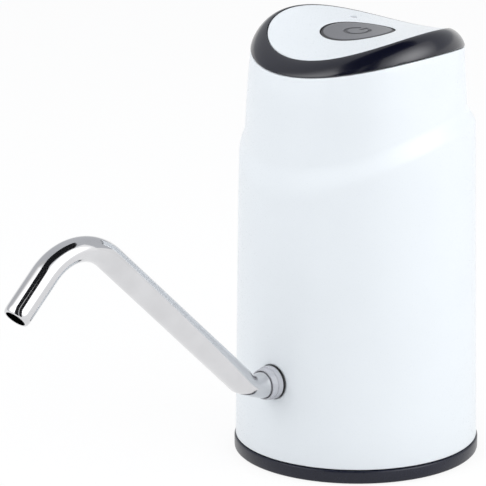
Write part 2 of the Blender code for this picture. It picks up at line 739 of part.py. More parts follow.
def make_housing_shell():
    neck_foot = SHOULDER_LEVEL + SHOULDER_HEIGHT
    neck_middle = neck_foot + NECK_HEIGHT * NECK_MIDDLE_UP_SHARE
    fade_start = SHOULDER_LEVEL - SHOULDER_FADE
    drop = (WALL_FOOT_RADIUS - WALL_TOP_RADIUS) / (SHOULDER_LEVEL - HOUSING_FOOT)
    fade_radius = WALL_TOP_RADIUS + drop * SHOULDER_FADE
    middle_radius = NECK_FOOT_RADIUS - NECK_TAPER * NECK_MIDDLE_IN_SHARE
    profile = [
        (WALL_FOOT_RADIUS, HOUSING_FOOT),
        (fade_radius, fade_start),
        *shoulder_points(),
        (middle_radius, neck_middle),
        (RIM_RADIUS, RIM_LEVEL),
        (RIM_RADIUS - WALL, RIM_LEVEL),
        (middle_radius - WALL, neck_middle),
        (NECK_FOOT_RADIUS - WALL, neck_foot),
        (WALL_TOP_RADIUS - WALL, SHOULDER_LEVEL - WALL / 2),
        (fade_radius - WALL, fade_start),
        (WALL_FOOT_RADIUS - WALL, HOUSING_FOOT),
    ]
    shell = saddled(turned(profile, OUTER_SIDES))
    boss_top = HOUSING_FOOT + BASE_BOSS_HEIGHT
    shank, length = BASE_SCREW[2:]
    pilot_top = BASE_SCREW_SINK + BASE_SCREW[1] + length + OVERRUN
    bosses = []
    pilots = []
    for angle in BASE_SCREW_ANGLES:
        x, y = BASE_SCREW_CIRCLE * math.cos(angle), BASE_SCREW_CIRCLE * math.sin(angle)
        bosses.append(rod(BASE_BOSS_RADIUS, HOUSING_FOOT, boss_top, SMALL_SIDES, x, y))
        pilots.append(rod(shank + GAP, HOUSING_FOOT - OVERRUN, pilot_top, SMALL_SIDES, x, y))
    boss = outward(
        rod(SOCKET_BOSS_RADIUS, BOSS_INNER_FACE, WALL_AT_SPOUT - WALL / 2, MIDDLE_SIDES)
    )
    spout_hole = outward(
        turned(
            [
                (0, BOSS_INNER_FACE - OVERRUN),
                (SOCKET_SLEEVE_RADIUS + GAP, BOSS_INNER_FACE - OVERRUN),
                (SOCKET_SLEEVE_RADIUS + GAP, WALL_INNER_FACE),
                (SOCKET_BORE + GAP, WALL_INNER_FACE),
                (SOCKET_BORE + GAP, SPOT_FACE),
                (SPOT_FACE_RADIUS, SPOT_FACE),
                (SPOT_FACE_RADIUS, WALL_AT_SPOUT + OVERRUN),
                (0, WALL_AT_SPOUT + OVERRUN),
            ],
            MIDDLE_SIDES,
        )
    )
    slot = prism(
        rounded_rectangle(USB_SLOT_WIDTH, USB_SLOT_HEIGHT, USB_SLOT_HEIGHT / 3, CORNER_STEPS),
        RIM_RADIUS - WALL - OVERRUN,
        NECK_FOOT_RADIUS + OVERRUN,
    )
    slot.transform(Matrix.Rotation(-math.pi / 2, 4, "X"))
    moved(slot, z=BOARD_LEVEL - GAP - USB_HEIGHT / 2)
    piece(
        "housing_shell",
        shell,
        "white_shell",
        add=[joined(*bosses, boss)],
        cut=[joined(spout_hole, slot, *pilots)],
    )


def make_trim_band():
    spigot = RIM_RADIUS - WALL - GAP
    foot = RIM_LEVEL + GAP
    width = RIM_RADIUS - COVER_RADIUS
    height = COVER_LEVEL - foot
    seat = COVER_UNDERSIDE - GAP
    fillet = [
        (COVER_RADIUS + width * math.cos(a), foot + height * math.sin(a))
        for a in (math.pi / 2 * step / BAND_STEPS for step in range(BAND_STEPS + 1))
    ]
    profile = [
        *fillet,
        (COVER_RADIUS, seat),
        (COVER_RADIUS - BAND_LEDGE, seat),
        (COVER_RADIUS - BAND_LEDGE, seat - BAND_LEDGE_THICKNESS),
        (spigot - BAND_SPIGOT_WALL, foot),
        (spigot - BAND_SPIGOT_WALL, foot - BAND_SPIGOT_DEPTH),
        (spigot, foot - BAND_SPIGOT_DEPTH),
        (spigot, foot),
    ]
    piece("trim_band", saddled(turned(profile, OUTER_SIDES)), "dark_gloss")


def make_top_cover():
    opening = BUTTON_RADIUS + GAP
    edge = COVER_RADIUS - GAP
    spigot = COVER_RADIUS - BAND_LEDGE - GAP
    spigot_foot = COVER_UNDERSIDE - COVER_SPIGOT_DEPTH
    profile = [
        *radial_points(opening, edge, COVER_RINGS, COVER_LEVEL),
        (edge, COVER_UNDERSIDE),
        (spigot, COVER_UNDERSIDE),
        (spigot, spigot_foot),
        (spigot - COVER_SPIGOT_WALL, spigot_foot),
        (spigot - COVER_SPIGOT_WALL, COVER_UNDERSIDE),
        ((opening + spigot) / 2, COVER_UNDERSIDE),
        (opening, COVER_UNDERSIDE),
    ]
    cover = saddled(turned(profile, OUTER_SIDES))
    middle = COVER_LEVEL - COVER_THICKNESS / 2
    boss_top = middle + lift(BOARD_BOSS_X, 0, middle)
    shank, length = BOARD_SCREW[2:]
    foot = BOARD_TOP + GAP
    places = (-BOARD_BOSS_X, BOARD_BOSS_X)
    bosses = [rod(BOARD_BOSS_RADIUS, foot, boss_top, SMALL_SIDES, x) for x in places]
    pilots = [rod(shank + GAP, foot - OVERRUN, foot + length, SMALL_SIDES, x) for x in places]
    light_hole = rod(
        LIGHT_PIPE_RADIUS + GAP,
        COVER_UNDERSIDE - OVERRUN,
        COVER_LEVEL + OVERRUN,
        SMALL_SIDES,
        LIGHT_X,
        LIGHT_Y,
    )
    piece(
        "top_cover",
        cover,
        "white_shell",
        add=[joined(*bosses)],
        cut=[joined(light_hole, *pilots)],
    )


def make_button_cap():
    flange_top = COVER_UNDERSIDE - GAP
    flange = BUTTON_RADIUS + BUTTON_FLANGE
    foot = flange_top - BUTTON_FLANGE_THICKNESS
    skirt = BUTTON_RADIUS - BUTTON_SKIRT_WALL
    flat = BUTTON_RADIUS - BUTTON_EDGE
    profile = [
        *radial_points(0, flat, BUTTON_RINGS, COVER_LEVEL),
        (BUTTON_RADIUS, COVER_LEVEL - BUTTON_EDGE),
        (BUTTON_RADIUS, flange_top),
        (flange, flange_top),
        (flange, foot),
        (skirt, foot),
        (skirt, COVER_UNDERSIDE),
        (BUTTON_STEM_RADIUS, COVER_UNDERSIDE),
        (BUTTON_STEM_RADIUS, BUTTON_STEM_FOOT),
        (0, BUTTON_STEM_FOOT),
    ]
    cap = saddled(turned(profile, MIDDLE_SIDES))
    piece("button_cap", cap, "grey_button", origin=Vector((0, 0, COVER_LEVEL)))


def make_control_board():
    half = BOARD_TONGUE_WIDTH / 2
    tongue = math.asin(half / BOARD_RADIUS)
    quarter = math.pi / 2
    outline = arc(BOARD_RADIUS, quarter + tongue, quarter - tongue + math.tau, OUTER_SIDES)
    outline += [(half, BOARD_TONGUE_REACH), (-half, BOARD_TONGUE_REACH)]
    places = (-BOARD_BOSS_X, BOARD_BOSS_X)
    shank = BOARD_SCREW[2]
    low, high = BOARD_LEVEL - OVERRUN, BOARD_TOP + OVERRUN
    holes = [rod(shank + GAP, low, high, SMALL_SIDES, x) for x in places]
    board = prism(outline, BOARD_LEVEL, BOARD_TOP)
    piece("control_board", board, "board_green", cut=[joined(*holes)])
    for number, x in enumerate(places, start=1):
        head_foot = BOARD_LEVEL - GAP - BOARD_SCREW[1]
        screw = moved(screw_shape(BOARD_SCREW, head_foot), x)
        piece(f"board_screw_{number}", screw, "zinc_steel")


def make_switch():
    half = SWITCH_SIDE / 2
    body = block((-half, -half, SWITCH_FOOT), (half, half, SWITCH_TOP))
    pocket_foot = SWITCH_TOP - PLUNGER_POCKET
    pocket = rod(PLUNGER_RADIUS + GAP, pocket_foot, SWITCH_TOP + OVERRUN, INNER_SIDES)
    piece("switch_body", body, "black_plastic", cut=[pocket])
    foot = pocket_foot + PLUNGER_TRAVEL + GAP
    plunger = rod(PLUNGER_RADIUS, foot, PLUNGER_TOP, INNER_SIDES)
    piece("switch_plunger", plunger, "white_plastic", origin=Vector((0, 0, PLUNGER_TOP)))


def make_usb_socket():
    high = BOARD_LEVEL - GAP
    low = high - USB_HEIGHT
    back = RIM_RADIUS - WALL - GAP - USB_LENGTH
    half = USB_WIDTH / 2
    shell = block((-half, back, low), (half, back + USB_LENGTH, high))
    mouth = block(
        (-half + USB_SHEET, back + USB_SHEET, low + USB_SHEET),
        (half - USB_SHEET, back + USB_LENGTH + OVERRUN, high - USB_SHEET),
    )
    piece("usb_socket", shell, "zinc_steel", cut=[mouth])


def make_status_light():
    foot = BOARD_TOP + GAP
    straight = foot + LIGHT_HEIGHT - LIGHT_RADIUS
    dome = [(x, straight + z) for x, z in arc(LIGHT_RADIUS, 0, math.pi / 2, CORNER_STEPS)]
    light = turned([(0, foot), (LIGHT_RADIUS, foot), *dome], SMALL_SIDES)
    piece("status_light", moved(light, LIGHT_X, LIGHT_Y), "clear_pipe")
    top = COVER_LEVEL + lift(LIGHT_X, LIGHT_Y, COVER_LEVEL) - GAP
    flange_top = COVER_UNDERSIDE + lift(LIGHT_X, LIGHT_Y, COVER_UNDERSIDE) - GAP
    flange_foot = flange_top - LIGHT_PIPE_FLANGE_THICKNESS
    flange = LIGHT_PIPE_RADIUS + LIGHT_PIPE_FLANGE
    profile = [
        (0, foot + LIGHT_HEIGHT + GAP),
        (LIGHT_PIPE_RADIUS, foot + LIGHT_HEIGHT + GAP),
        (LIGHT_PIPE_RADIUS, flange_foot),
        (flange, flange_foot),
        (flange, flange_top),
        (LIGHT_PIPE_RADIUS, flange_top),
        (LIGHT_PIPE_RADIUS, top),
        (0, top),
    ]
    pipe = moved(turned(profile, SMALL_SIDES), LIGHT_X, LIGHT_Y)
    piece("light_pipe", pipe, "clear_pipe")


def make_control_chip():
    foot = BOARD_TOP + GAP
    low = (CHIP_X - CHIP_LENGTH / 2, CHIP_Y - CHIP_WIDTH / 2, foot)
    high = (CHIP_X + CHIP_LENGTH / 2, CHIP_Y + CHIP_WIDTH / 2, foot + CHIP_HEIGHT)
    piece("control_chip", block(low, high), "black_plastic")


def make_spout():
    """Tube and collar, whose origin lies on the socket's axis, which they turn about and slide along."""
    origin = Vector((0, -COLLAR_BACK, SPOUT_LEVEL))
    corners = [
        (0, -SPOUT_END, SPOUT_LEVEL),
        (0, -SPOUT_ELBOW_REACH, SPOUT_LEVEL),
        (0, -CREST_REACH, CREST_LEVEL),
        (0, -MOUTH_REACH, MOUTH_LEVEL),
    ]
    steps = (ELBOW_STEPS, CREST_STEPS)
    route = rounded_route(corners, (ELBOW_BEND, CREST_BEND), steps)
    flats = bend_flats((ELBOW_FLAT_SHARE, CREST_FLAT_SHARE), steps)
    tube = swept(route, SPOUT_RADIUS, SPOUT_BORE, SPOUT_SIDES, flats)
    piece("spout_tube", tube, "steel", origin=origin)
    flange_front = COLLAR_BACK + COLLAR_FLANGE_THICKNESS
    front = COLLAR_BACK + COLLAR_LENGTH
    bore = SPOUT_RADIUS + COLLAR_FIT
    profile = [
        (bore, COLLAR_BACK),
        (COLLAR_FLANGE_RADIUS, COLLAR_BACK),
        (COLLAR_FLANGE_RADIUS, flange_front - COLLAR_EDGE),
        (COLLAR_FLANGE_RADIUS - COLLAR_EDGE, flange_front),
        (COLLAR_NOSE_RADIUS, flange_front + COLLAR_EDGE),
        (COLLAR_NOSE_RADIUS, front - COLLAR_EDGE),
        (COLLAR_NOSE_RADIUS - COLLAR_EDGE, front),
        (bore, front),
    ]
    collar = outward(turned(profile, MIDDLE_SIDES))
    piece("spout_collar", collar, "grey_plastic", origin=origin)


def make_spout_seals():
    origin = Vector((0, -GASKET_BACK, SPOUT_LEVEL))
    front = GASKET_BACK + GASKET_THICKNESS
    gasket = outward(ring(SOCKET_BORE, GASKET_RADIUS, GASKET_BACK, front, MIDDLE_SIDES))
    piece("spout_gasket", gasket, "black_rubber", origin=origin)
    centre = (O_RING_CENTRE, SOCKET_FRONT - O_RING_SETBACK)
    section = arc(O_RING_SECTION, 0, math.tau, O_RING_STEPS, centre)[:-1]
    piece("spout_o_ring", outward(turned(section, INNER_SIDES)), "black_rubber", origin=origin)


def make_outlet_socket():
    groove = O_RING_SECTION + GAP
    groove_middle = SOCKET_FRONT - O_RING_SETBACK
    groove_bottom = O_RING_CENTRE + O_RING_SECTION + GAP
    stop = SPOUT_END - GAP
    tip = SOCKET_BACK - BARB_LENGTH
    profile = [
        (SOCKET_BORE, WALL_INNER_FACE - GAP),
        (SOCKET_SLEEVE_RADIUS, WALL_INNER_FACE - GAP),
        (SOCKET_SLEEVE_RADIUS, SOCKET_FRONT),
        (SOCKET_RADIUS, SOCKET_FRONT),
        (SOCKET_RADIUS, SOCKET_BACK),
        *barb_profile(BARB_STEM, BARB_TIP, tip, SOCKET_BACK, BARB_COUNT),
        (BARB_BORE, tip),
        (BARB_BORE, stop),
        (SOCKET_BORE, stop),
        (SOCKET_BORE, groove_middle - groove),
        (groove_bottom, groove_middle - groove),
        (groove_bottom, groove_middle + groove),
        (SOCKET_BORE, groove_middle + groove),
    ]
    piece("outlet_socket", outward(turned(profile, INNER_SIDES)), "white_plastic")


def make_intake():
    tip = NECK_DEPTH - INTAKE_BARB_LENGTH
    flange_foot = DECK_TOP + GAP
    flange_top = flange_foot + NIPPLE_FLANGE
    lower = barb_profile(
        INTAKE_BARB_STEM, INTAKE_BARB_TIP, tip, NECK_DEPTH, INTAKE_BARB_COUNT
    )
    upper_tip = flange_top + BARB_LENGTH
    upper = barb_profile(BARB_STEM, BARB_TIP, upper_tip, flange_top, BARB_COUNT)
    profile = [
        (NIPPLE_FLANGE_RADIUS, flange_foot),
        (INTAKE_BARB_STEM, flange_foot),
        *lower,
        (BARB_BORE, tip),
        (BARB_BORE, upper_tip),
        *reversed(upper),
        (NIPPLE_FLANGE_RADIUS, flange_top),
    ]
    nipple = moved(turned(profile, INNER_SIDES), y=INLET_Y)
    piece("intake_nipple", nipple, "white_plastic")
    outer = NECK_BORE - GAP
    top = NECK_DEPTH - GAP
    foot = top - NECK_SEAL_THICKNESS
    seal = [
        (outer, top),
        (outer - NECK_SEAL_WIDTH, top),
        (outer - NECK_SEAL_WIDTH, foot),
        (outer - NECK_SEAL_LIP_WIDTH, foot),
        (outer - NECK_SEAL_LIP_WIDTH, foot - NECK_SEAL_LIP),
        (outer, foot - NECK_SEAL_LIP),
    ]
    piece("neck_seal", turned(seal, MIDDLE_SIDES), "silicone")


def make_hoses():
    low = DECK_TOP + GAP + NIPPLE_FLANGE + GAP
    high = SHELF_LEVEL - GAP
    inlet = moved(ring(HOSE_BORE, HOSE_RADIUS, low, high, HOSE_SIDES), y=INLET_Y)
    piece("inlet_tube", inlet, "silicone")
    corners = [
        (0, OUTLET_Y, high),
        (0, OUTLET_Y, SPOUT_LEVEL),
        (0, GAP - SOCKET_BACK, SPOUT_LEVEL),
    ]
    route = rounded_route(corners, (HOSE_BEND,), (HOSE_STEPS,))
    piece("outlet_tube", swept(route, HOSE_RADIUS, HOSE_BORE, HOSE_SIDES), "silicone")


def gear_outline():
    """The outline of a spur gear with involute teeth, one tooth centred on +X."""
    pitch = GEAR_MODULE * GEAR_TEETH / 2
    base = pitch * math.cos(GEAR_PRESSURE)
    half_tooth = (math.pi * GEAR_MODULE / 2 - GEAR_BACKLASH) / (2 * pitch)

    def half_angle(radius):
        roll = math.acos(min(base / radius, 1.0))
        return half_tooth + math.tan(GEAR_PRESSURE) - GEAR_PRESSURE - math.tan(roll) + roll

    flank = [base + (GEAR_TIP - base) * n / GEAR_FLANK_STEPS for n in range(GEAR_FLANK_STEPS + 1)]
    rising = [(GEAR_ROOT, half_angle(base))] + [(radius, half_angle(radius)) for radius in flank]
    points = []
    for tooth in range(GEAR_TEETH):
        middle = math.tau * tooth / GEAR_TEETH
        for radius, half in rising:
            points.append((radius * math.cos(middle - half), radius * math.sin(middle - half)))
        for radius, half in reversed(rising):
            points.append((radius * math.cos(middle + half), radius * math.sin(middle + half)))
    return points


def make_gears():
    """Two equal gears in mesh: a tooth of the drive gear points at a gap of the idler."""
    low, high = GEAR_FOOT, GEAR_FOOT + GEAR_WIDTH
    bore = SHAFT_RADIUS + RUNNING
    for name, centre, turn in (
        ("drive_gear", DRIVE, 0),
        ("idler_gear", IDLER, math.pi / GEAR_TEETH),
    ):
        gear = prism(gear_outline(), low, high)
        gear.transform(Matrix.Translation(centre) @ Matrix.Rotation(turn, 4, "Z"))
        hole = rod(bore, low - OVERRUN, high + OVERRUN, SMALL_SIDES, *centre.xy)
        piece(name, gear, "white_plastic", origin=centre, cut=[hole])
    pin_foot = PUMP_COVER_FOOT + PUMP_COVER_THICKNESS / 2 + GAP
    pin_top = PUMP_BODY_FOOT + CHAMBER_DEPTH + PUMP_COVER_THICKNESS / 2
    pin = rod(SHAFT_RADIUS, pin_foot, pin_top, SMALL_SIDES, *IDLER.xy)
    piece("idler_shaft", pin, "steel")


def pump_outline():
    return rounded_rectangle(PUMP_WIDTH, PUMP_LENGTH, PUMP_CORNER, CORNER_STEPS, PUMP_Y)


def pump_screw_places():
    out_x = PUMP_WIDTH / 2 - PUMP_SCREW_INSET
    out_y = PUMP_LENGTH / 2 - PUMP_SCREW_INSET
    return [(x, PUMP_Y + y) for x in (-out_x, out_x) for y in (-out_y, out_y)]


def motor_screw_places():
    return [(DRIVE.x, PUMP_Y + y) for y in (-MOTOR_SCREW_OFFSET, MOTOR_SCREW_OFFSET)]


def make_pump_cover():
    low, high = PUMP_COVER_FOOT, PUMP_COVER_FOOT + PUMP_COVER_THICKNESS
    plate = prism(pump_outline(), low, high)
    tip = SHELF_LEVEL - BARB_LENGTH
    ports = []
    holes = []
    for y in (OUTLET_Y, INLET_Y):
        barb = barb_profile(BARB_STEM, BARB_TIP, tip, SHELF_LEVEL, BARB_COUNT)
        middle = (low + high) / 2
        profile = [(0, middle), (BARB_TIP, middle), (BARB_TIP, SHELF_LEVEL), *barb, (0, tip)]
        ports.append(moved(turned(profile, SMALL_SIDES), y=y))
        holes.append(rod(BARB_BORE, tip - OVERRUN, high + OVERRUN, SMALL_SIDES, y=y))
    shank = PUMP_SCREW[2]
    holes += [
        rod(shank + GAP, low - OVERRUN, high + OVERRUN, SMALL_SIDES, x, y)
        for x, y in pump_screw_places()
    ]
    pocket = rod(SHAFT_RADIUS + GAP, (low + high) / 2, high + OVERRUN, SMALL_SIDES, *IDLER.xy)
    piece("pump_cover", plate, "white_plastic", add=[joined(*ports)], cut=[joined(*holes, pocket)])


def make_pump_body():
    low, high = PUMP_BODY_FOOT, PUMP_TOP
    ceiling = low + CHAMBER_DEPTH
    body = prism(pump_outline(), low, high)
    chamber = [
        rod(GEAR_TIP + GAP, low - OVERRUN, ceiling, MIDDLE_SIDES, *centre.xy)
        for centre in (DRIVE, IDLER)
    ]
    reach = PORT_OFFSET - PORT_POCKET_SHIFT
    pockets = [
        rod(PORT_POCKET_RADIUS, low - OVERRUN, low + PORT_POCKET_DEPTH, SMALL_SIDES, y=y)
        for y in (PUMP_Y - reach, PUMP_Y + reach)
    ]
    pin_top = ceiling + PUMP_COVER_THICKNESS / 2 + GAP
    pin_hole = rod(SHAFT_RADIUS + GAP, ceiling - OVERRUN, pin_top, SMALL_SIDES, *IDLER.xy)
    seal_room = [
        (0, ceiling - OVERRUN),
        (SHAFT_RADIUS + GAP, ceiling - OVERRUN),
        (SHAFT_RADIUS + GAP, high - SEAL_HEIGHT - GAP),
        (SEAL_RADIUS + GAP, high - SEAL_HEIGHT - GAP),
        (SEAL_RADIUS + GAP, high + OVERRUN),
        (0, high + OVERRUN),
    ]
    shaft_hole = moved(turned(seal_room, INNER_SIDES), *DRIVE.xy)
    shank, length = PUMP_SCREW[2:]
    screw_top = SHELF_LEVEL - GAP + length + GAP
    pilots = [
        rod(shank + GAP, low - OVERRUN, screw_top, SMALL_SIDES, x, y)
        for x, y in pump_screw_places()
    ]
    head, height, shank, length = MOTOR_SCREW
    head_room = high - length + MOTOR_CAN_WALL + GAP
    wells = []
    for x, y in motor_screw_places():
        profile = [
            (0, low - OVERRUN),
            (head + GAP, low - OVERRUN),
            (head + GAP, head_room),
            (shank + GAP, head_room),
            (shank + GAP, high + OVERRUN),
            (0, high + OVERRUN),
        ]
        wells.append(moved(turned(profile, SMALL_SIDES), x, y))
    piece(
        "pump_body",
        body,
        "black_plastic",
        cut=[joined(*chamber), joined(*pockets, *pilots, *wells), joined(pin_hole, shaft_hole)],
    )
    seal = ring(SHAFT_RADIUS + RUNNING, SEAL_RADIUS, high - SEAL_HEIGHT, high, INNER_SIDES)
    piece("shaft_seal", moved(seal, *DRIVE.xy), "black_rubber")
    for number, (x, y) in enumerate(pump_screw_places(), start=1):
        foot = SHELF_LEVEL - GAP - PUMP_SCREW[1]
        piece(f"pump_screw_{number}", moved(screw_shape(PUMP_SCREW, foot), x, y), "zinc_steel")
    for number, (x, y) in enumerate(motor_screw_places(), start=1):
        foot = head_room - GAP - height
        piece(f"motor_screw_{number}", moved(screw_shape(MOTOR_SCREW, foot), x, y), "zinc_steel")


def make_motor():
    inner = MOTOR_RADIUS - MOTOR_CAN_WALL
    hole = SHAFT_RADIUS + GAP
    profile = [
        (hole, MOTOR_FOOT),
        (MOTOR_RADIUS - MOTOR_CAN_EDGE, MOTOR_FOOT),
        (MOTOR_RADIUS, MOTOR_FOOT + MOTOR_CAN_EDGE),
        (MOTOR_RADIUS, MOTOR_TOP),
        (inner, MOTOR_TOP),
        (inner, MOTOR_FOOT + MOTOR_CAN_WALL),
        (hole, MOTOR_FOOT + MOTOR_CAN_WALL),
    ]
    can = moved(turned(profile, MIDDLE_SIDES), *DRIVE.xy)
    low, high = MOTOR_FOOT - OVERRUN, MOTOR_FOOT + MOTOR_CAN_WALL + OVERRUN
    holes = [
        rod(MOTOR_SCREW[2] + GAP, low, high, SMALL_SIDES, x, y) for x, y in motor_screw_places()
    ]
    piece("motor_can", can, "zinc_steel", cut=[joined(*holes)])
    plug_foot = MOTOR_TOP - END_BELL_PLUG
    face = MOTOR_TOP + GAP
    bell = [
        (SHAFT_RADIUS + RUNNING, plug_foot),
        (inner - GAP, plug_foot),
        (inner - GAP, face),
        (MOTOR_RADIUS - GAP, face),
        (MOTOR_RADIUS - GAP, face + END_BELL_THICKNESS),
        (END_BELL_HUB_RADIUS, face + END_BELL_THICKNESS),
        (END_BELL_HUB_RADIUS, face + END_BELL_THICKNESS + END_BELL_HUB_HEIGHT),
        (SHAFT_RADIUS + RUNNING, face + END_BELL_THICKNESS + END_BELL_HUB_HEIGHT),
    ]
    piece("motor_end_bell", moved(turned(bell, MIDDLE_SIDES), *DRIVE.xy), "black_plastic")
    magnet_outer = inner - GAP
    magnet_foot = MOTOR_FOOT + MAGNET_LIFT
    for number, middle in enumerate((0, math.pi), start=1):
        magnet = arc_wall(
            magnet_outer - MAGNET_THICKNESS,
            magnet_outer,
            MAGNET_ARC,
            MAGNET_STEPS,
            middle,
            magnet_foot,
            magnet_foot + MAGNET_HEIGHT,
        )
        piece(f"motor_magnet_{number}", moved(magnet, *DRIVE.xy), "magnet")
    top = face + END_BELL_THICKNESS + GAP
    for number, side in enumerate((-1, 1), start=1):
        x = DRIVE.x + side * TERMINAL_SPREAD
        low = (x - TERMINAL_SHEET / 2, PUMP_Y - TERMINAL_WIDTH / 2, top)
        high = (x + TERMINAL_SHEET / 2, PUMP_Y + TERMINAL_WIDTH / 2, top + TERMINAL_HEIGHT)
        piece(f"motor_terminal_{number}", block(low, high), "brass")


def rotor_outline():
    """Round pole faces with a slot between each pair."""
    points = []
    for pole in range(ROTOR_POLES):
        middle = math.tau * pole / ROTOR_POLES
        start, end = middle - ROTOR_POLE_ARC / 2, middle + ROTOR_POLE_ARC / 2
        points += arc(ROTOR_RADIUS, start, end, ROTOR_POLE_STEPS)
        slot = middle + math.pi / ROTOR_POLES
        points.append((ROTOR_SLOT_RADIUS * math.cos(slot), ROTOR_SLOT_RADIUS * math.sin(slot)))
    return points


def make_rotor():
    """Shaft, wound core and commutator, which turn with the drive gear on one axis."""
    foot = MOTOR_FOOT + ROTOR_LIFT
    top = foot + ROTOR_HEIGHT
    bore = SHAFT_RADIUS + RUNNING
    core = moved(prism(rotor_outline(), foot, top), *DRIVE.xy)
    hole = rod(bore, foot - OVERRUN, top + OVERRUN, SMALL_SIDES, *DRIVE.xy)
    piece("motor_rotor", core, "copper", origin=DRIVE, cut=[hole])
    low = top + GAP
    commutator = ring(bore, COMMUTATOR_RADIUS, low, low + COMMUTATOR_HEIGHT, INNER_SIDES)
    piece("motor_commutator", moved(commutator, *DRIVE.xy), "brass", origin=DRIVE)
    end = MOTOR_TOP + GAP + END_BELL_THICKNESS + END_BELL_HUB_HEIGHT / 2
    shaft = rod(SHAFT_RADIUS, GEAR_FOOT + GAP, end, SMALL_SIDES, *DRIVE.xy)
    piece("motor_shaft", shaft, "steel", origin=DRIVE)


def make_chassis():
    half = PLATE_WIDTH / 2
    foot_top = FOOT_LEVEL + FOOT_THICKNESS
    plate = block((-half, PLATE_Y, DECK_TOP + GAP), (half, PLATE_BACK, PLATE_TOP))
    shelf_half = PUMP_WIDTH / 2 + SHELF_MARGIN
    shelf_front = PUMP_Y - PUMP_LENGTH / 2 - SHELF_MARGIN
    overlap_y = PLATE_Y + PLATE_THICKNESS / 2
    shelf = block(
        (-shelf_half, shelf_front, SHELF_LEVEL), (shelf_half, overlap_y, SHELF_TOP)
    )
    additions = [shelf]
    overlap_z = SHELF_LEVEL + SHELF_THICKNESS / 2
    for side in (-1, 1):
        outer = side * shelf_half
        inner = side * (shelf_half - GUSSET_THICKNESS)
        corners = [
            (overlap_y, overlap_z),
            (PLATE_Y - GUSSET_DEPTH, overlap_z),
            (overlap_y, overlap_z - GUSSET_HEIGHT),
        ]
        gusset = prism(corners, *sorted((inner, outer)))
        gusset.transform(UPRIGHT)
        additions.append(gusset)
        ends = sorted((side * (half - WALL), side * (PILLAR_X + FOOT_END)))
        low_y, high_y = PILLAR_Y - FOOT_LENGTH / 2, PILLAR_Y + FOOT_LENGTH / 2
        additions.append(block((ends[0], low_y, FOOT_LEVEL), (ends[1], high_y, foot_top)))
    cradle = rod(BATTERY_RADIUS, DECK_TOP + GAP, CRADLE_TOP, INNER_SIDES, y=BATTERY_Y)
    neck_x = BATTERY_RADIUS / 2
    bridge_block = block(
        (-neck_x, overlap_y, DECK_TOP + GAP), (neck_x, BATTERY_Y, CRADLE_TOP)
    )
    clips = []
    for level in CLIP_LEVELS:
        inner = BATTERY_RADIUS + GAP
        clip = arc_wall(
            inner, inner + CLIP_WALL, CLIP_ARC, CLIP_STEPS, -math.pi / 2, level, level + CLIP_HEIGHT
        )
        clips.append(moved(clip, y=BATTERY_Y))
    port_holes = [
        rod(BARB_TIP + GAP, SHELF_LEVEL - OVERRUN, SHELF_TOP + OVERRUN, SMALL_SIDES, y=y)
        for y in (OUTLET_Y, INLET_Y)
    ]
    screw_holes = [
        rod(PUMP_SCREW[2] + GAP, SHELF_LEVEL - OVERRUN, SHELF_TOP + OVERRUN, SMALL_SIDES, x, y)
        for x, y in pump_screw_places()
    ]
    foot_holes = [
        rod(CHASSIS_SCREW[2] + GAP, FOOT_LEVEL - OVERRUN, foot_top + OVERRUN, SMALL_SIDES, x, PILLAR_Y)
        for x in (-PILLAR_X, PILLAR_X)
    ]
    piece(
        "chassis",
        plate,
        "white_plastic",
        add=[joined(*additions), joined(cradle, bridge_block, *clips)],
        cut=[joined(*port_holes, *screw_holes, *foot_holes)],
    )
    for number, x in enumerate((-PILLAR_X, PILLAR_X), start=1):
        head_top = foot_top + GAP + CHASSIS_SCREW[1]
        screw = moved(screw_shape(CHASSIS_SCREW, head_top, downwards=True), x, PILLAR_Y)
        piece(f"chassis_screw_{number}", screw, "zinc_steel")


def make_battery():
    groove_top = BATTERY_TOP - BATTERY_GROOVE_DROP
    groove_foot = groove_top - BATTERY_GROOVE_HEIGHT
    waist = BATTERY_RADIUS - BATTERY_GROOVE
    profile = [
        (0, BATTERY_FOOT),
        (BATTERY_RADIUS - BATTERY_EDGE, BATTERY_FOOT),
        (BATTERY_RADIUS, BATTERY_FOOT + BATTERY_EDGE),
        (BATTERY_RADIUS, groove_foot),
        (waist, (groove_foot + groove_top) / 2),
        (BATTERY_RADIUS, groove_top),
        (BATTERY_RADIUS, BATTERY_TOP - BATTERY_EDGE),
        (BATTERY_RADIUS - BATTERY_EDGE, BATTERY_TOP),
        (BATTERY_NUB_RADIUS, BATTERY_TOP),
        (BATTERY_NUB_RADIUS, BATTERY_TOP + BATTERY_NUB_HEIGHT),
        (0, BATTERY_TOP + BATTERY_NUB_HEIGHT),
    ]
    piece("battery_cell", moved(turned(profile, INNER_SIDES), y=BATTERY_Y), "battery_wrap")
    half = TAB_WIDTH / 2
    lower = block(
        (-TAB_LONG_REACH, BATTERY_Y - half, LOWER_TAB), (half, BATTERY_Y + half, LOWER_TAB + TAB_SHEET)
    )
    piece("battery_tab_minus", lower, "zinc_steel")
    upper = block(
        (-half, BATTERY_Y - half, UPPER_TAB), (TAB_SHORT_REACH, BATTERY_Y + half, UPPER_TAB + TAB_SHEET)
    )
    piece("battery_tab_plus", upper, "zinc_steel")


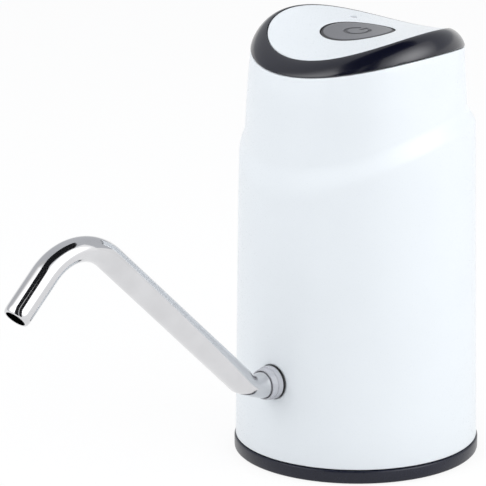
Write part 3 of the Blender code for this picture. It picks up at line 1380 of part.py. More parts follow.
def make_wires():
    """Wires from the motor terminals and the battery tabs up to the underside of the board."""
    board = BOARD_LEVEL - GAP
    terminal = MOTOR_TOP + GAP + END_BELL_THICKNESS + GAP + TERMINAL_HEIGHT + GAP
    bow = TERMINAL_SPREAD / 2
    left, right = DRIVE.x - TERMINAL_SPREAD, DRIVE.x + TERMINAL_SPREAD
    plus = UPPER_TAB + TAB_SHEET + GAP
    minus = LOWER_TAB + TAB_SHEET + GAP
    minus_x = WIRE_RADIUS - TAB_LONG_REACH
    plus_x = TAB_SHORT_REACH - WIRE_RADIUS
    landing = BATTERY_Y - BATTERY_RADIUS
    # Each row: x and y at the start, x and y under the board, height of the start
    rows = {
        "motor_wire_red": (left, PUMP_Y, left - bow, PUMP_Y + bow, terminal),
        "motor_wire_black": (right, PUMP_Y, right + bow, PUMP_Y + bow, terminal),
        "battery_wire_red": (plus_x, BATTERY_Y, plus_x, landing, plus),
        "battery_wire_black": (minus_x, BATTERY_Y, -plus_x, landing, minus),
    }
    for name, (x, y, board_x, board_y, foot) in rows.items():
        finish = "wire_red" if name.endswith("red") else "wire_black"
        low_bend = max(foot, plus) + WIRE_STRAIGHT
        corners = [
            (x, y, foot),
            (x, y, low_bend),
            (board_x, board_y, board - WIRE_STRAIGHT),
            (board_x, board_y, board),
        ]
        route = rounded_route(corners, (WIRE_BEND, WIRE_BEND), (WIRE_STEPS, WIRE_STEPS))
        piece(name, swept(route, WIRE_RADIUS, 0, WIRE_SIDES), finish)


def make_base_screws():
    for number, angle in enumerate(BASE_SCREW_ANGLES, start=1):
        x, y = BASE_SCREW_CIRCLE * math.cos(angle), BASE_SCREW_CIRCLE * math.sin(angle)
        screw = moved(screw_shape(BASE_SCREW, BASE_SCREW_SINK), x, y)
        piece(f"base_screw_{number}", screw, "zinc_steel")


def main():
    clear_scene()
    axis = bpy.data.objects.new("pump_axis", None)
    axis.location = (0, AXIS_BACK, 0)
    bpy.context.scene.collection.objects.link(axis)
    make_base_cup()
    make_base_screws()
    make_housing_shell()
    make_trim_band()
    make_top_cover()
    make_button_cap()
    make_control_board()
    make_switch()
    make_usb_socket()
    make_status_light()
    make_control_chip()
    make_spout()
    make_spout_seals()
    make_outlet_socket()
    make_intake()
    make_hoses()
    make_gears()
    make_pump_cover()
    make_pump_body()
    make_motor()
    make_rotor()
    make_chassis()
    make_battery()
    make_wires()
    bpy.context.view_layer.update()


main()
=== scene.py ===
"""Looks of a rechargeable pump that stands on a large water bottle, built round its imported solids.

Every length is in metres. The outer pieces are turned, swept and cut again here as fine surfaces, and
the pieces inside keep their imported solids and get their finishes."""

import json
import math

import bmesh
import bpy
from bpy.props import FloatProperty, FloatVectorProperty, IntProperty, PointerProperty
from bpy.types import Operator, Panel, PropertyGroup
from mathutils import Matrix, Vector

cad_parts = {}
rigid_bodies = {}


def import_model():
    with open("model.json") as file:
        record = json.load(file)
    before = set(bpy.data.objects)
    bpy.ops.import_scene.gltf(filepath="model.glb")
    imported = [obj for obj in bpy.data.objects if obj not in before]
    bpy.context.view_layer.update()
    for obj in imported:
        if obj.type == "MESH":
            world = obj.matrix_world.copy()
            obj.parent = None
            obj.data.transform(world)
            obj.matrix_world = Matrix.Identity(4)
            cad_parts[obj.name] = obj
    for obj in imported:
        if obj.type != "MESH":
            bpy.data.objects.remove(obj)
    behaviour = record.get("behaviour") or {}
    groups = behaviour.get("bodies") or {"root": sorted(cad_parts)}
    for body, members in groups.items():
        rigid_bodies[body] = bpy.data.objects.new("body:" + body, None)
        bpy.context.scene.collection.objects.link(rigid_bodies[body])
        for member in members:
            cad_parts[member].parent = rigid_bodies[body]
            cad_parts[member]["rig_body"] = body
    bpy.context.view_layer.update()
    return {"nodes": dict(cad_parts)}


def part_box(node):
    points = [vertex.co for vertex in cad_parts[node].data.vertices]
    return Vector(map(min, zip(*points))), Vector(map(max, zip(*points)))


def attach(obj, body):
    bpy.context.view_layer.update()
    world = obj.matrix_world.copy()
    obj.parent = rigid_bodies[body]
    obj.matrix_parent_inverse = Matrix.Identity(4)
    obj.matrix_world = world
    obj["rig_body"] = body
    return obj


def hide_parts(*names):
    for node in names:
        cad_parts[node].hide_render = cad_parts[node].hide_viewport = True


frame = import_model()

bl_info = {
    "name": "Bottle pump looks",
    "version": (1, 0, 0),
    "blender": (4, 5, 0),
    "location": "View3D > Sidebar > Pump",
    "description": "Fine surfaces, finishes and studio of a bottle pump",
    "category": "Object",
}

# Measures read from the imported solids
RING_LOW, RING_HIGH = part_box("base_cup")
SHELL_LOW, SHELL_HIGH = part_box("housing_shell")
TUBE_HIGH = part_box("spout_tube")[1]
COLLAR_LOW, COLLAR_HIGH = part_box("spout_collar")
GASKET_LOW, GASKET_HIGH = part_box("spout_gasket")
AXIS_Y = (RING_LOW.y + RING_HIGH.y) / 2

# Gap between pieces, how far a cut reaches past a surface, and what counts as the same place
CLEAR = 0.0003
PAST = 0.002
WELD = 0.000001

# Roundings of edges, from fine to coarse
EDGE_BARB = 0.00008
EDGE_SCREW = 0.0001
EDGE_LIP = 0.00015
EDGE_BAND = 0.0002
EDGE_RIM = 0.00025
EDGE_FOOT = 0.0003
EDGE_SEAL = 0.0004
EDGE_DECK = 0.0005
EDGE_RING = 0.0006
EDGE_MOUTH = 0.0008
SLOT_ROUND_SHARE = 0.49

# Edges sharper than this stay sharp, and how far up a face looks that counts as a wall or as flat
SHARP = math.radians(38)
STEEP = 0.5
FLAT = 0.9

# Facets round turned pieces, from the finest to the coarsest
SEAL_SIDES = 128
MIDDLE_SIDES = 96
INNER_SIDES = 64
LIGHT_SIDES = 40
BOSS_SIDES = 32
SMALL_SIDES = 24

# How closely the taller shoulder step keeps to the very front
FRONT_POWER = 4

# How many radians the wave texture turns per metre at a scale of one
WAVE_PACE = 20

# Finishes and studio
SHADER = "Principled BSDF"
MILK_DEPTH = 0.001
WHITE = (1, 1, 1, 1)
SKY_TONE = (0.94, 0.96, 1, 1)
FLOOR_TONE = (0.8, 0.8, 0.8, 1)
FLOOR_REACH = 6
SENSOR_WIDTH = 36
CAMERA_SIGHT = 20


def number_prop(name, description, default, unit="NONE"):
    return FloatProperty(name=name, description=description, default=default, unit=unit)


def length_prop(name, description, default):
    return number_prop(name, description, default, "LENGTH")


def angle_prop(name, description, degrees):
    return number_prop(name, description, math.radians(degrees), "ROTATION")


def share_prop(name, description, default):
    return FloatProperty(name=name, description=description, default=default, subtype="FACTOR")


def count_prop(name, description, default):
    return IntProperty(name=name, description=description, default=default)


def colour_prop(name, description, default):
    looks = {"subtype": "COLOR", "size": 3}
    return FloatVectorProperty(name=name, description=description, default=default, **looks)


class PumpShellSizes(PropertyGroup):
    """Sizes of the round body, from the ring that it stands on to the saddle top."""

    sides: count_prop("Sides", "Facets round the outer pieces", 144)
    ring_radius: length_prop("Ring radius", "Outer radius of the dark base ring", RING_HIGH.x)
    ring_height: length_prop("Ring height", "Height of the dark base ring", 0.0042)
    wall: length_prop("Wall", "Thickness of the white shell", 0.0022)
    foot_radius: length_prop("Foot radius", "Outer radius of the shell above the ring", SHELL_HIGH.x)
    shoulder_radius: length_prop(
        "Shoulder radius", "Outer radius of the shell below the shoulder", 0.03715
    )
    shoulder_level: length_prop(
        "Shoulder level", "Mean height of the lower edge of the shoulder", 0.1015
    )
    shoulder_height: length_prop("Shoulder height", "Height of the rounded shoulder step", 0.007)
    shoulder_rise: length_prop(
        "Shoulder rise", "How much higher the shoulder is at the back than at the middle", 0.007
    )
    shoulder_bow: length_prop(
        "Shoulder bow", "Saddle of the shoulder: up at the sides, down at front and back", 0.0039
    )
    shoulder_stretch: share_prop(
        "Shoulder stretch", "How much taller the shoulder step is at the very front, as a share", 0.5
    )
    fade_below: length_prop(
        "Fade below", "Height under the shoulder over which its waves die away", 0.025
    )
    fade_above: length_prop(
        "Fade above", "Height over the shoulder over which its waves die away", 0.014
    )
    rim_fade: length_prop(
        "Rim fade", "Height under the rim over which the saddle of the top dies away", 0.01
    )
    neck_radius: length_prop(
        "Neck radius", "Outer radius where the neck starts above the shoulder", 0.03475
    )
    neck_lean: length_prop(
        "Neck lean", "How far the foot of the neck stands to the front of the body axis", 0.0007
    )
    rim_radius: length_prop("Rim radius", "Outer radius of the shell at its upper rim", 0.0334)
    rim_level: length_prop("Rim level", "Mean height of the upper rim", 0.13015)
    rim_rise: length_prop(
        "Rim rise", "Saddle of the rim: up at the sides, down at front and back", 0.00265
    )
    rim_tilt: length_prop(
        "Rim tilt", "How much higher the rim is at the back than at the middle", 0.00075
    )
    band_slack: number_prop(
        "Band slack", "Form of the band's fillet: 1 is a full round, 2 a straight slope", 1.3
    )
    cover_radius: length_prop("Cover radius", "Radius of the white cover inside the dark band", 0.0283)
    cover_level: length_prop("Cover level", "Mean height of the cover", 0.13575)
    cover_rise: length_prop("Cover rise", "Saddle at the cover's edge", 0.0035)
    cover_tilt: length_prop(
        "Cover tilt", "How much higher the cover's edge is at the back than at the middle", 0.00094
    )
    cover_thickness: length_prop("Cover thickness", "Thickness of the cover and the button", 0.0018)
    button_radius: length_prop("Button radius", "Radius of the round button", 0.0115)
    light_x: length_prop("Light X", "Place of the status light beside the button", -0.0135)
    light_y: length_prop("Light Y", "Place of the status light behind the button", 0.0125)
    ledge_width: length_prop("Ledge width", "How far the band's ledge reaches under the cover", 0.0021)
    deck_foot: length_prop("Deck foot", "Height of the underside of the base's deck", 0.021)
    deck_top: length_prop("Deck top", "Height of the upper side of the base's deck", 0.023)


class PumpSpoutSizes(PropertyGroup):
    """Sizes of the bent spout, its collar and the socket's hole, measured from the body axis."""

    level: length_prop(
        "Socket level", "Height of the socket's axis", (COLLAR_LOW.z + COLLAR_HIGH.z) / 2
    )
    radius: length_prop("Tube radius", "Outer radius of the tube", TUBE_HIGH.x)
    wall: length_prop("Tube wall", "Thickness of the tube", 0.0006)
    elbow_reach: length_prop(
        "Elbow reach", "Distance from the body axis to the corner of the lower bend", 0.0485
    )
    arm: length_prop("Arm", "Length between the corners of the two bends", 0.09735)
    rise: angle_prop("Rise", "Slope of the arm", 42.8)
    drop: length_prop("Drop", "Length from the corner of the upper bend to the mouth", 0.0331)
    nose: length_prop("Nose", "Length over which the tube is drawn in at its mouth", 0.0022)
    mouth_radius: length_prop("Mouth radius", "Outer radius of the tube at its mouth", 0.0037)
    fall: angle_prop("Fall", "Slope of the tube at its mouth", 42.7)
    elbow_bend: length_prop("Elbow bend", "Radius of the lower bend", 0.014)
    crest_bend: length_prop("Crest bend", "Radius of the upper bend", 0.0189)
    elbow_flat: share_prop(
        "Elbow flattening", "Share of its width that the tube loses in the lower bend", 0.2
    )
    crest_flat: share_prop(
        "Crest flattening", "Share of its width that the tube loses in the upper bend", 0.1
    )
    collar_fit: length_prop("Collar fit", "Clearance of the collar round the tube", 0.0002)
    flange_thickness: length_prop("Flange thickness", "Thickness of the collar's flange", 0.0016)
    gasket_squeeze: length_prop(
        "Gasket squeeze", "How much thinner the gasket is pressed by the collar", 0.0003
    )
    nose_radius: length_prop("Nose radius", "Outer radius of the collar's nose", 0.0049)
    face_radius: length_prop(
        "Seat radius", "Radius of the flat seat sunk into the shell for the gasket", 0.0057
    )
    sleeve_radius: length_prop(
        "Sleeve radius", "Outer radius of the socket's sleeve behind the wall", 0.006
    )
    boss_radius: length_prop(
        "Boss radius", "Radius of the boss round the socket inside the shell", 0.009
    )
    boss_depth: length_prop("Boss depth", "How far that boss stands in from the wall", 0.0014)


class PumpFinishes(PropertyGroup):
    """Colours of the pieces that show."""

    shell: colour_prop("Shell", "White shell and cover", (0.805, 0.843, 0.868))
    trim: colour_prop("Trim", "Dark band on top", (0.002, 0.0028, 0.011))
    ring: colour_prop("Ring", "Dark ring at the base", (0.004, 0.0055, 0.017))
    button: colour_prop("Button", "Grey press button", (0.15, 0.152, 0.165))
    steel: colour_prop("Steel", "Polished spout", (0.69, 0.69, 0.705))
    collar: colour_prop("Collar", "Light grey collar of the spout", (0.49, 0.5, 0.535))
    symbol: colour_prop("Symbol", "Power symbol on the button", (0.09, 0.0912, 0.099))
    # Painted shade: the button's chamfer, its side wall and the wall of the cover's opening are darkened
    # for the shade in the gap round the button.
    rim: colour_prop("Rim", "Edges round the button", (0.0375, 0.038, 0.04125))


class PumpStudio(PropertyGroup):
    """Camera and lamps."""

    camera_azimuth: angle_prop(
        "Camera azimuth", "Turn of the camera round the body, from the front", 42.85
    )
    camera_distance: length_prop("Camera distance", "Level distance from the body axis", 1.065)
    camera_height: length_prop("Camera height", "Height above the floor", 0.3664)
    camera_pitch: angle_prop("Camera pitch", "How far the camera looks down", 15.70)
    camera_yaw: angle_prop(
        "Camera yaw", "How far the camera turns from the body axis to the left", 1.936
    )
    camera_roll: angle_prop("Camera roll", "Roll of the camera", -0.26)
    camera_focal: number_prop("Focal length", "Focal length on a sensor 36 mm wide", 258.67, "CAMERA")
    key_power: number_prop("Key power", "Softbox to the right", 5.3, "POWER")
    fill_power: number_prop("Fill power", "Softbox to the left", 3.65, "POWER")
    sky_strength: number_prop("Sky strength", "Even light from all round", 0.65)
    ceiling_level: length_prop(
        "Ceiling level", "Height of the dim ceiling that polished pieces mirror", 1.3
    )
    paper_white: share_prop(
        "Paper white", "Brightness of the floor and backdrop as the camera sees them", 1.0
    )
    shadow_share: share_prop(
        "Shadow share", "How much of the floor's own shading the camera sees", 0.12
    )
    flag_tone: colour_prop(
        "Flag tone", "Dark cloth of the flags that polished pieces mirror", (0.016, 0.016, 0.018)
    )


# Flags: their corners
FLAGS = {
    "flag_left": (
        (0.095, -0.492, 0.03), (0.265, -0.315, 0.03), (0.265, -0.315, 0.8), (0.095, -0.492, 0.8)
    ),
    "flag_right": (
        (0.283, -0.285, 0.03), (0.349, -0.167, 0.03), (0.349, -0.167, 0.8), (0.283, -0.285, 0.8)
    ),
    "flag_above": (
        (-0.1, -0.13, 0.54), (0.27, -0.13, 0.54), (0.27, 0.22, 0.54), (-0.1, 0.22, 0.54)
    ),
    "flag_joining": (
        (0.095, -0.492, 0.54), (0.265, -0.315, 0.54), (0.27, -0.13, 0.54), (-0.1, -0.13, 0.54)
    ),
}


# Softboxes: azimuth from the front, elevation, distance, width and height
SOFTBOXES = {
    "key_softbox": (105, 31, 0.9, 1.1, 1.0),
    "fill_softbox": (-25, 38, 0.9, 0.9, 0.9),
}


# Their fronts as polished pieces mirror them: the same, then the glow at the rim and in the middle
SOFTBOX_FRONTS = {
    "key_front": (99, 25, 0.86, 1.2, 1.1, 1.1, 4.6),
    "fill_front": (-8, 38, 0.86, 1.6, 1.1, 0.65, 3.0),
}


# Screws: name, how many, height of the head, radius of the shank, head at the top
SCREW_KINDS = (
    ("base_screw", 3, 0.0014, 0.0013, False),
    ("pump_screw", 4, 0.0013, 0.0011, False),
    ("motor_screw", 2, 0.0012, 0.0009, False),
    ("board_screw", 2, 0.0012, 0.0009, False),
    ("chassis_screw", 2, 0.0014, 0.0011, True),
)


# Shapes


def turned(profile, sides):
    """Turns a closed profile about Z. Each point is (radius, height) or (radius, height, rounding)."""
    shape = bmesh.new()
    round_layer = shape.verts.layers.float.new("rounding")
    verts = []
    for radius, height, *rounding in profile:
        vert = shape.verts.new((radius, 0, height))
        vert[round_layer] = rounding[0] if rounding else 0
        verts.append(vert)
    edges = [
        shape.edges.new(pair)
        for pair in zip(verts, verts[1:] + verts[:1])
        if max(pair[0].co.x, pair[1].co.x) > WELD
    ]
    spin = {"axis": (0, 0, 1), "cent": (0, 0, 0), "steps": sides, "angle": math.tau}
    bmesh.ops.spin(shape, geom=verts + edges, use_merge=True, **spin)
    bmesh.ops.remove_doubles(shape, verts=shape.verts, dist=WELD)
    bmesh.ops.recalc_face_normals(shape, faces=shape.faces)
    for size in sorted({vert[round_layer] for vert in shape.verts} - {0.0}):
        rims = [
            edge
            for edge in shape.edges
            if all(abs(vert[round_layer] - size) < WELD for vert in edge.verts)
            and abs(edge.verts[0].co.z - edge.verts[1].co.z) < WELD
            and abs(edge.verts[0].co.xy.length - edge.verts[1].co.xy.length) < WELD
        ]
        rounded(shape, rims, size, clamp=True)
    return shape


def rounded(shape, edges, radius, segments=3, clamp=False):
    """Rounds some edges of a shape."""
    bmesh.ops.bevel(
        shape,
        geom=edges,
        offset=radius,
        affect="EDGES",
        segments=segments,
        profile=0.5,
        material=-1,
        clamp_overlap=clamp,
    )


def between(start, end, count):
    """Points evenly spaced from start up to, but without, end."""
    return [tuple(a + (b - a) * step / count for a, b in zip(start, end)) for step in range(count)]


def moved(shape, x=0.0, y=0.0, z=0.0):
    bmesh.ops.translate(shape, verts=shape.verts, vec=(x, y, z))
    return shape


def on_axis(shape):
    """Moves a shape made about the origin onto the body axis."""
    return moved(shape, y=AXIS_Y)


def outward(shape, level):
    """Turns a shape made along +Z so that it runs outwards along the spout's socket."""
    turn = Matrix.Rotation(math.pi / 2, 4, "X")
    shape.transform(Matrix.Translation((0, 0, level)) @ turn)
    return shape


def rod(radius, low, high, sides, x=0.0, y=0.0):
    return moved(turned([(0, low), (radius, low), (radius, high), (0, high)], sides), x, y)


def block(low, high, rounding=0.0):
    """A box between two corners, with rounded edges if asked."""
    low, high = Vector(low), Vector(high)
    shape = bmesh.new()
    bmesh.ops.create_cube(shape, size=1)
    bmesh.ops.scale(shape, verts=shape.verts, vec=high - low)
    bmesh.ops.translate(shape, verts=shape.verts, vec=(low + high) / 2)
    if rounding:
        rounded(shape, list(shape.edges), rounding)
    return shape


def slot_block(width, height, low, high, steps):
    """A bar with fully rounded ends in cross section, along Y from low to high, about the origin."""
    shape = block((-width / 2, low, -height / 2), (width / 2, high, height / 2))
    along = [e for e in shape.edges if abs(e.verts[0].co.y - e.verts[1].co.y) > WELD]
    rounded(shape, along, height * SLOT_ROUND_SHARE, steps)
    return shape


def joined(shapes):
    """Several shapes in one, still as separate bodies."""
    first = shapes[0]
    for other in shapes[1:]:
        mesh = bpy.data.meshes.new("joining")
        other.to_mesh(mesh)
        other.free()
        first.from_mesh(mesh)
        bpy.data.meshes.remove(mesh)
    return first


def smooth_step(value):
    value = min(max(value, 0.0), 1.0)
    return value * value * (3 - 2 * value)


def lift(x, y, z):
    """How far the tilted shoulder and the saddle top raise a point of the straight turned shapes."""
    size = bpy.context.scene.pump_shell
    start, end = size.shoulder_level, size.shoulder_level + size.shoulder_height
    near = smooth_step((z - start + size.fade_below) / size.fade_below)
    near *= smooth_step((end + size.fade_above - z) / size.fade_above)
    across, along = x / size.shoulder_radius, y / size.shoulder_radius
    wave = size.shoulder_rise * along + size.shoulder_bow * (across**2 - along**2)
    above_middle = min(max(z, start), end) - (start + end) / 2
    wave += size.shoulder_stretch * above_middle * max(-along, 0.0) ** FRONT_POWER
    band_foot = size.rim_level + CLEAR
    level = min(max((z - band_foot) / (size.cover_level - band_foot), 0.0), 1.0)
    bow = size.rim_rise / size.rim_radius**2
    bow += (size.cover_rise / size.cover_radius**2 - bow) * level
    lean = size.rim_tilt / size.rim_radius
    lean += (size.cover_tilt / size.cover_radius - lean) * level
    fade = smooth_step((z - size.rim_level + size.rim_fade) / size.rim_fade)
    return near * wave + fade * (bow * (x * x - y * y) + lean * y)


def saddled(shape):
    """Bends a turned shape to the tilted shoulder, the leaning neck and the saddle top."""
    size = bpy.context.scene.pump_shell
    neck_foot = size.shoulder_level + size.shoulder_height
    for vert in shape.verts:
        height = vert.co.z
        near = smooth_step((height - size.shoulder_level) / size.shoulder_height)
        near *= 1 - min(max((height - neck_foot) / (size.rim_level - neck_foot), 0.0), 1.0)
        vert.co.z += lift(*vert.co)
        vert.co.y -= near * size.neck_lean
    return shape


def shade(mesh):
    mesh.shade_smooth()
    mesh.set_sharp_from_angle(angle=SHARP)


def bare_object(name, shape):
    mesh = bpy.data.meshes.new(name)
    shape.to_mesh(mesh)
    shape.free()
    made = bpy.data.objects.new(name, mesh)
    bpy.context.scene.collection.objects.link(made)
    return made


def combined(made, shape, operation):
    """Adds a shape to an object's mesh, or takes it out of it, and keeps the result as its mesh."""
    helper = bare_object(f"{made.name}_helper", shape)
    boolean = made.modifiers.new("joint", "BOOLEAN")
    boolean.operation = operation
    boolean.object = helper
    boolean.solver = "EXACT"
    boolean.use_self = True
    bpy.context.view_layer.update()
    settled = made.evaluated_get(bpy.context.evaluated_depsgraph_get())
    mesh = bpy.data.meshes.new_from_object(settled)
    made.modifiers.remove(boolean)
    old = made.data
    made.data = mesh
    bpy.data.meshes.remove(old)
    bpy.data.objects.remove(helper)
    return made


def new_piece(name, shape, finish, stands_for, add=(), cut=()):
    """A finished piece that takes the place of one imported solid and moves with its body."""
    made = bare_object(name, shape)
    made.data.materials.append(finish)
    for other in add:
        combined(made, other, "UNION")
    for other in cut:
        combined(made, other, "DIFFERENCE")
    if not made.data.polygons:
        raise RuntimeError(f"{name} has no faces")
    shade(made.data)
    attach(made, frame["nodes"][stands_for]["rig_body"])
    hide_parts(stands_for)
    return made


def middle_of_box(node):
    low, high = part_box(node)
    return (low + high) / 2


# Finishes


def new_finish(name, colour, metallic, roughness):
    """A material with its shader, and Object coordinates to drive patterns with."""
    made = bpy.data.materials.new(name)
    made.use_nodes = True
    nodes = made.node_tree.nodes
    fill(
        nodes[SHADER],
        {"Base Color": (*colour, 1), "Metallic": metallic, "Roughness": roughness},
    )
    place = nodes.new("ShaderNodeTexCoord")
    place.name = "place"
    return made


def fill(node, values):
    """Sets unlinked sockets of a node by their names."""
    for name, value in values.items():
        node.inputs[name].default_value = value


def add_noise(made, scale, detail, stretch=None):
    """Noise on Object coordinates, drawn out along an axis where stretch is given."""
    nodes, links = made.node_tree.nodes, made.node_tree.links
    noise = nodes.new("ShaderNodeTexNoise")
    fill(noise, {"Scale": scale, "Detail": detail})
    source = nodes["place"].outputs["Object"]
    if stretch:
        mapping = nodes.new("ShaderNodeMapping")
        fill(mapping, {"Scale": stretch})
        links.new(source, mapping.inputs["Vector"])
        source = mapping.outputs["Vector"]
    links.new(source, noise.inputs["Vector"])
    return noise.outputs["Fac"]


def to_range(made, value, low, high, start=0.3, end=0.7):
    nodes, links = made.node_tree.nodes, made.node_tree.links
    ranged = nodes.new("ShaderNodeMapRange")
    fill(ranged, {"From Min": start, "From Max": end, "To Min": low, "To Max": high})
    links.new(value, ranged.inputs["Value"])
    return ranged.outputs["Result"]


def vary_roughness(made, value, low, high):
    shader = made.node_tree.nodes[SHADER]
    made.node_tree.links.new(to_range(made, value, low, high), shader.inputs["Roughness"])


def vary_colour(made, value, first, second, start=0.3, end=0.7):
    nodes, links = made.node_tree.nodes, made.node_tree.links
    mix = nodes.new("ShaderNodeMix")
    mix.data_type = "RGBA"
    fill(mix, {"A": (*first, 1), "B": (*second, 1)})
    links.new(to_range(made, value, 0, 1, start, end), mix.inputs["Factor"])
    links.new(mix.outputs["Result"], nodes[SHADER].inputs["Base Color"])


def add_bump(made, value, height):
    nodes, links = made.node_tree.nodes, made.node_tree.links
    bump = nodes.new("ShaderNodeBump")
    fill(bump, {"Distance": height})
    links.new(value, bump.inputs["Height"])
    links.new(bump.outputs["Normal"], nodes[SHADER].inputs["Normal"])


def shaded(colour, share):
    return tuple(channel * share for channel in colour)


def moulded(name, colour, roughness, grain=0.00001, coat=0.0, coat_roughness=0.08, sheen=0.5):
    """Injection-moulded plastic: a faint waviness, an even sheen and hardly any change of colour."""
    made = new_finish(name, colour, 0.0, roughness)
    broad = add_noise(made, 45, 2)
    fine = add_noise(made, 2600, 3)
    vary_colour(made, broad, shaded(colour, 0.985), colour)
    vary_roughness(made, fine, roughness * 0.88, roughness * 1.12)
    add_bump(made, fine, grain)
    looks = {"IOR": 1.52, "Specular IOR Level": sheen}
    looks.update({"Coat Weight": coat, "Coat Roughness": coat_roughness})
    fill(made.node_tree.nodes[SHADER], looks)
    return made


def metal(name, colour, roughness, stretch=(1, 1, 1), scratches=0.000002):
    """Metal with fine lines drawn along the direction in which it was worked."""
    made = new_finish(name, colour, 1.0, roughness)
    lines = add_noise(made, 700, 4, stretch)
    cloud = add_noise(made, 120, 2)
    vary_colour(made, cloud, shaded(colour, 0.93), colour)
    vary_roughness(made, lines, roughness * 0.75, roughness * 1.3)
    add_bump(made, lines, scratches)
    return made


def soft(name, colour, roughness, glow=0.0, powder=0.00001):
    """Rubber or silicone: matte, with a powdery grain, milky where glow is given."""
    made = new_finish(name, colour, 0.0, roughness)
    grain = add_noise(made, 3200, 4)
    vary_colour(made, add_noise(made, 160, 2), shaded(colour, 0.9), colour)
    vary_roughness(made, grain, roughness * 0.9, roughness * 1.1)
    add_bump(made, grain, powder)
    fill(made.node_tree.nodes[SHADER], {"Subsurface Weight": glow, "Subsurface Scale": MILK_DEPTH})
    return made


def banded(name, first, second, metallic, roughness, pitch, direction):
    """Stripes across a direction, for windings, stacked sheets and sleeves."""
    made = new_finish(name, first, metallic, roughness)
    nodes, links = made.node_tree.nodes, made.node_tree.links
    wave = nodes.new("ShaderNodeTexWave")
    wave.bands_direction = direction
    fill(wave, {"Scale": math.tau / (WAVE_PACE * pitch), "Distortion": 0.4})
    links.new(nodes["place"].outputs["Object"], wave.inputs["Vector"])
    vary_colour(made, wave.outputs["Fac"], first, second, 0.2, 0.8)
    add_bump(made, wave.outputs["Fac"], pitch / 4)
    return made


def board_lacquer(name, colour, copper, relief=0.00003):
    """Green lacquer over copper tracks, drawn as the edges of square cells."""
    made = new_finish(name, colour, 0.0, 0.35)
    nodes, links = made.node_tree.nodes, made.node_tree.links
    brick = nodes.new("ShaderNodeTexBrick")
    fill(brick, {"Scale": 260, "Mortar Size": 0.06, "Mortar": (*copper, 1)})
    fill(brick, {"Color1": (*colour, 1), "Color2": (*shaded(colour, 0.8), 1)})
    links.new(nodes["place"].outputs["Object"], brick.inputs["Vector"])
    links.new(brick.outputs["Color"], nodes[SHADER].inputs["Base Color"])
    add_bump(made, brick.outputs["Fac"], relief)
    return made


def clear_plastic(name, colour, glow, ripple=0.000004):
    """Clear plastic that is milky inside, with a faint ripple."""
    made = new_finish(name, colour, 0.0, 0.12)
    fill(made.node_tree.nodes[SHADER], {"Subsurface Weight": glow, "Subsurface Scale": MILK_DEPTH})
    add_bump(made, add_noise(made, 900, 2), ripple)
    vary_roughness(made, add_noise(made, 900, 2), 0.08, 0.16)
    return made


# Finishes: maker, colour or its name in the finishes panel, then the maker's other values
FINISHES = {
    "shell_white": (moulded, "shell", 0.3, 0.000004, 0.08, 0.08, 0.28),
    "trim_black": (moulded, "trim", 0.2, 0.000001, 0.25, 0.12),
    "ring_black": (moulded, "ring", 0.3, 0.000004, 0.0, 0.08, 0.4),
    "button_grey": (moulded, "button", 0.36),
    "symbol_grey": (moulded, "symbol", 0.5),
    # Painted shade on the button's chamfer and on the wall of its opening in the cover.
    "rim_grey": (moulded, "rim", 0.5),
    "light_clear": (clear_plastic, (0.55, 0.56, 0.58), 0.3),
    "spout_steel": (metal, "steel", 0.08, (1, 0.06, 0.06), 0.0000003),
    # Painted shade: the steel tube's inside is near black with no sheen, which stands in for the shade
    # in its bore.
    "bore_dark": (moulded, (0.0015, 0.0015, 0.0016), 0.9, 0.00001, 0.0, 0.08, 0.0),
    "collar_grey": (moulded, "collar", 0.3, 0.000004),
    "rubber_black": (soft, (0.012, 0.012, 0.014), 0.55),
    "silicone_milky": (soft, (0.72, 0.74, 0.74), 0.42, 0.4),
    "inner_black": (moulded, (0.02, 0.02, 0.022), 0.5, 0.00002),
    "inner_white": (moulded, (0.72, 0.72, 0.69), 0.45, 0.00002),
    "zinc": (metal, (0.55, 0.56, 0.57), 0.32),
    "ground_steel": (metal, (0.62, 0.62, 0.63), 0.2, (1, 1, 0.1)),
    "brass_bare": (metal, (0.72, 0.5, 0.2), 0.28),
    "ferrite": (soft, (0.05, 0.05, 0.055), 0.6),
    "windings": (banded, (0.62, 0.25, 0.09), (0.35, 0.11, 0.03), 0.9, 0.35, 0.0004, "Z"),
    "sleeve_blue": (banded, (0.02, 0.12, 0.34), (0.018, 0.11, 0.31), 0.0, 0.3, 0.004, "Z"),
    "lacquer_green": (board_lacquer, (0.01, 0.13, 0.05), (0.05, 0.24, 0.09)),
    "insulation_red": (soft, (0.5, 0.012, 0.01), 0.4),
    "insulation_black": (soft, (0.012, 0.012, 0.012), 0.4),
}


def finish_of(name):
    """The finish of that name, made the first time it is asked for."""
    found = bpy.data.materials.get(name)
    if found:
        return found
    maker, colour, *rest = FINISHES[name]
    if isinstance(colour, str):
        colour = getattr(bpy.context.scene.pump_finishes, colour)
    return maker(name, colour, *rest)


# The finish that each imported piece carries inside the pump
INNER_FINISHES = {
    "sleeve_blue": ("battery_cell",),
    "zinc": ("battery_tab_minus", "battery_tab_plus", "motor_can"),
    "insulation_black": ("battery_wire_black", "motor_wire_black"),
    "insulation_red": ("battery_wire_red", "motor_wire_red"),
    "inner_white": (
        "chassis", "drive_gear", "idler_gear", "outlet_socket", "pump_cover", "switch_plunger"
    ),
    "inner_black": ("control_chip", "motor_end_bell", "pump_body", "switch_body"),
    "lacquer_green": ("control_board",),
    "ground_steel": ("idler_shaft", "motor_shaft"),
    "silicone_milky": ("inlet_tube", "outlet_tube"),
    "brass_bare": ("motor_commutator", "motor_terminal_1", "motor_terminal_2"),
    "ferrite": ("motor_magnet_1", "motor_magnet_2"),
    "windings": ("motor_rotor",),
    "rubber_black": ("shaft_seal", "spout_o_ring"),
    "light_clear": ("status_light",),
}


# Pieces


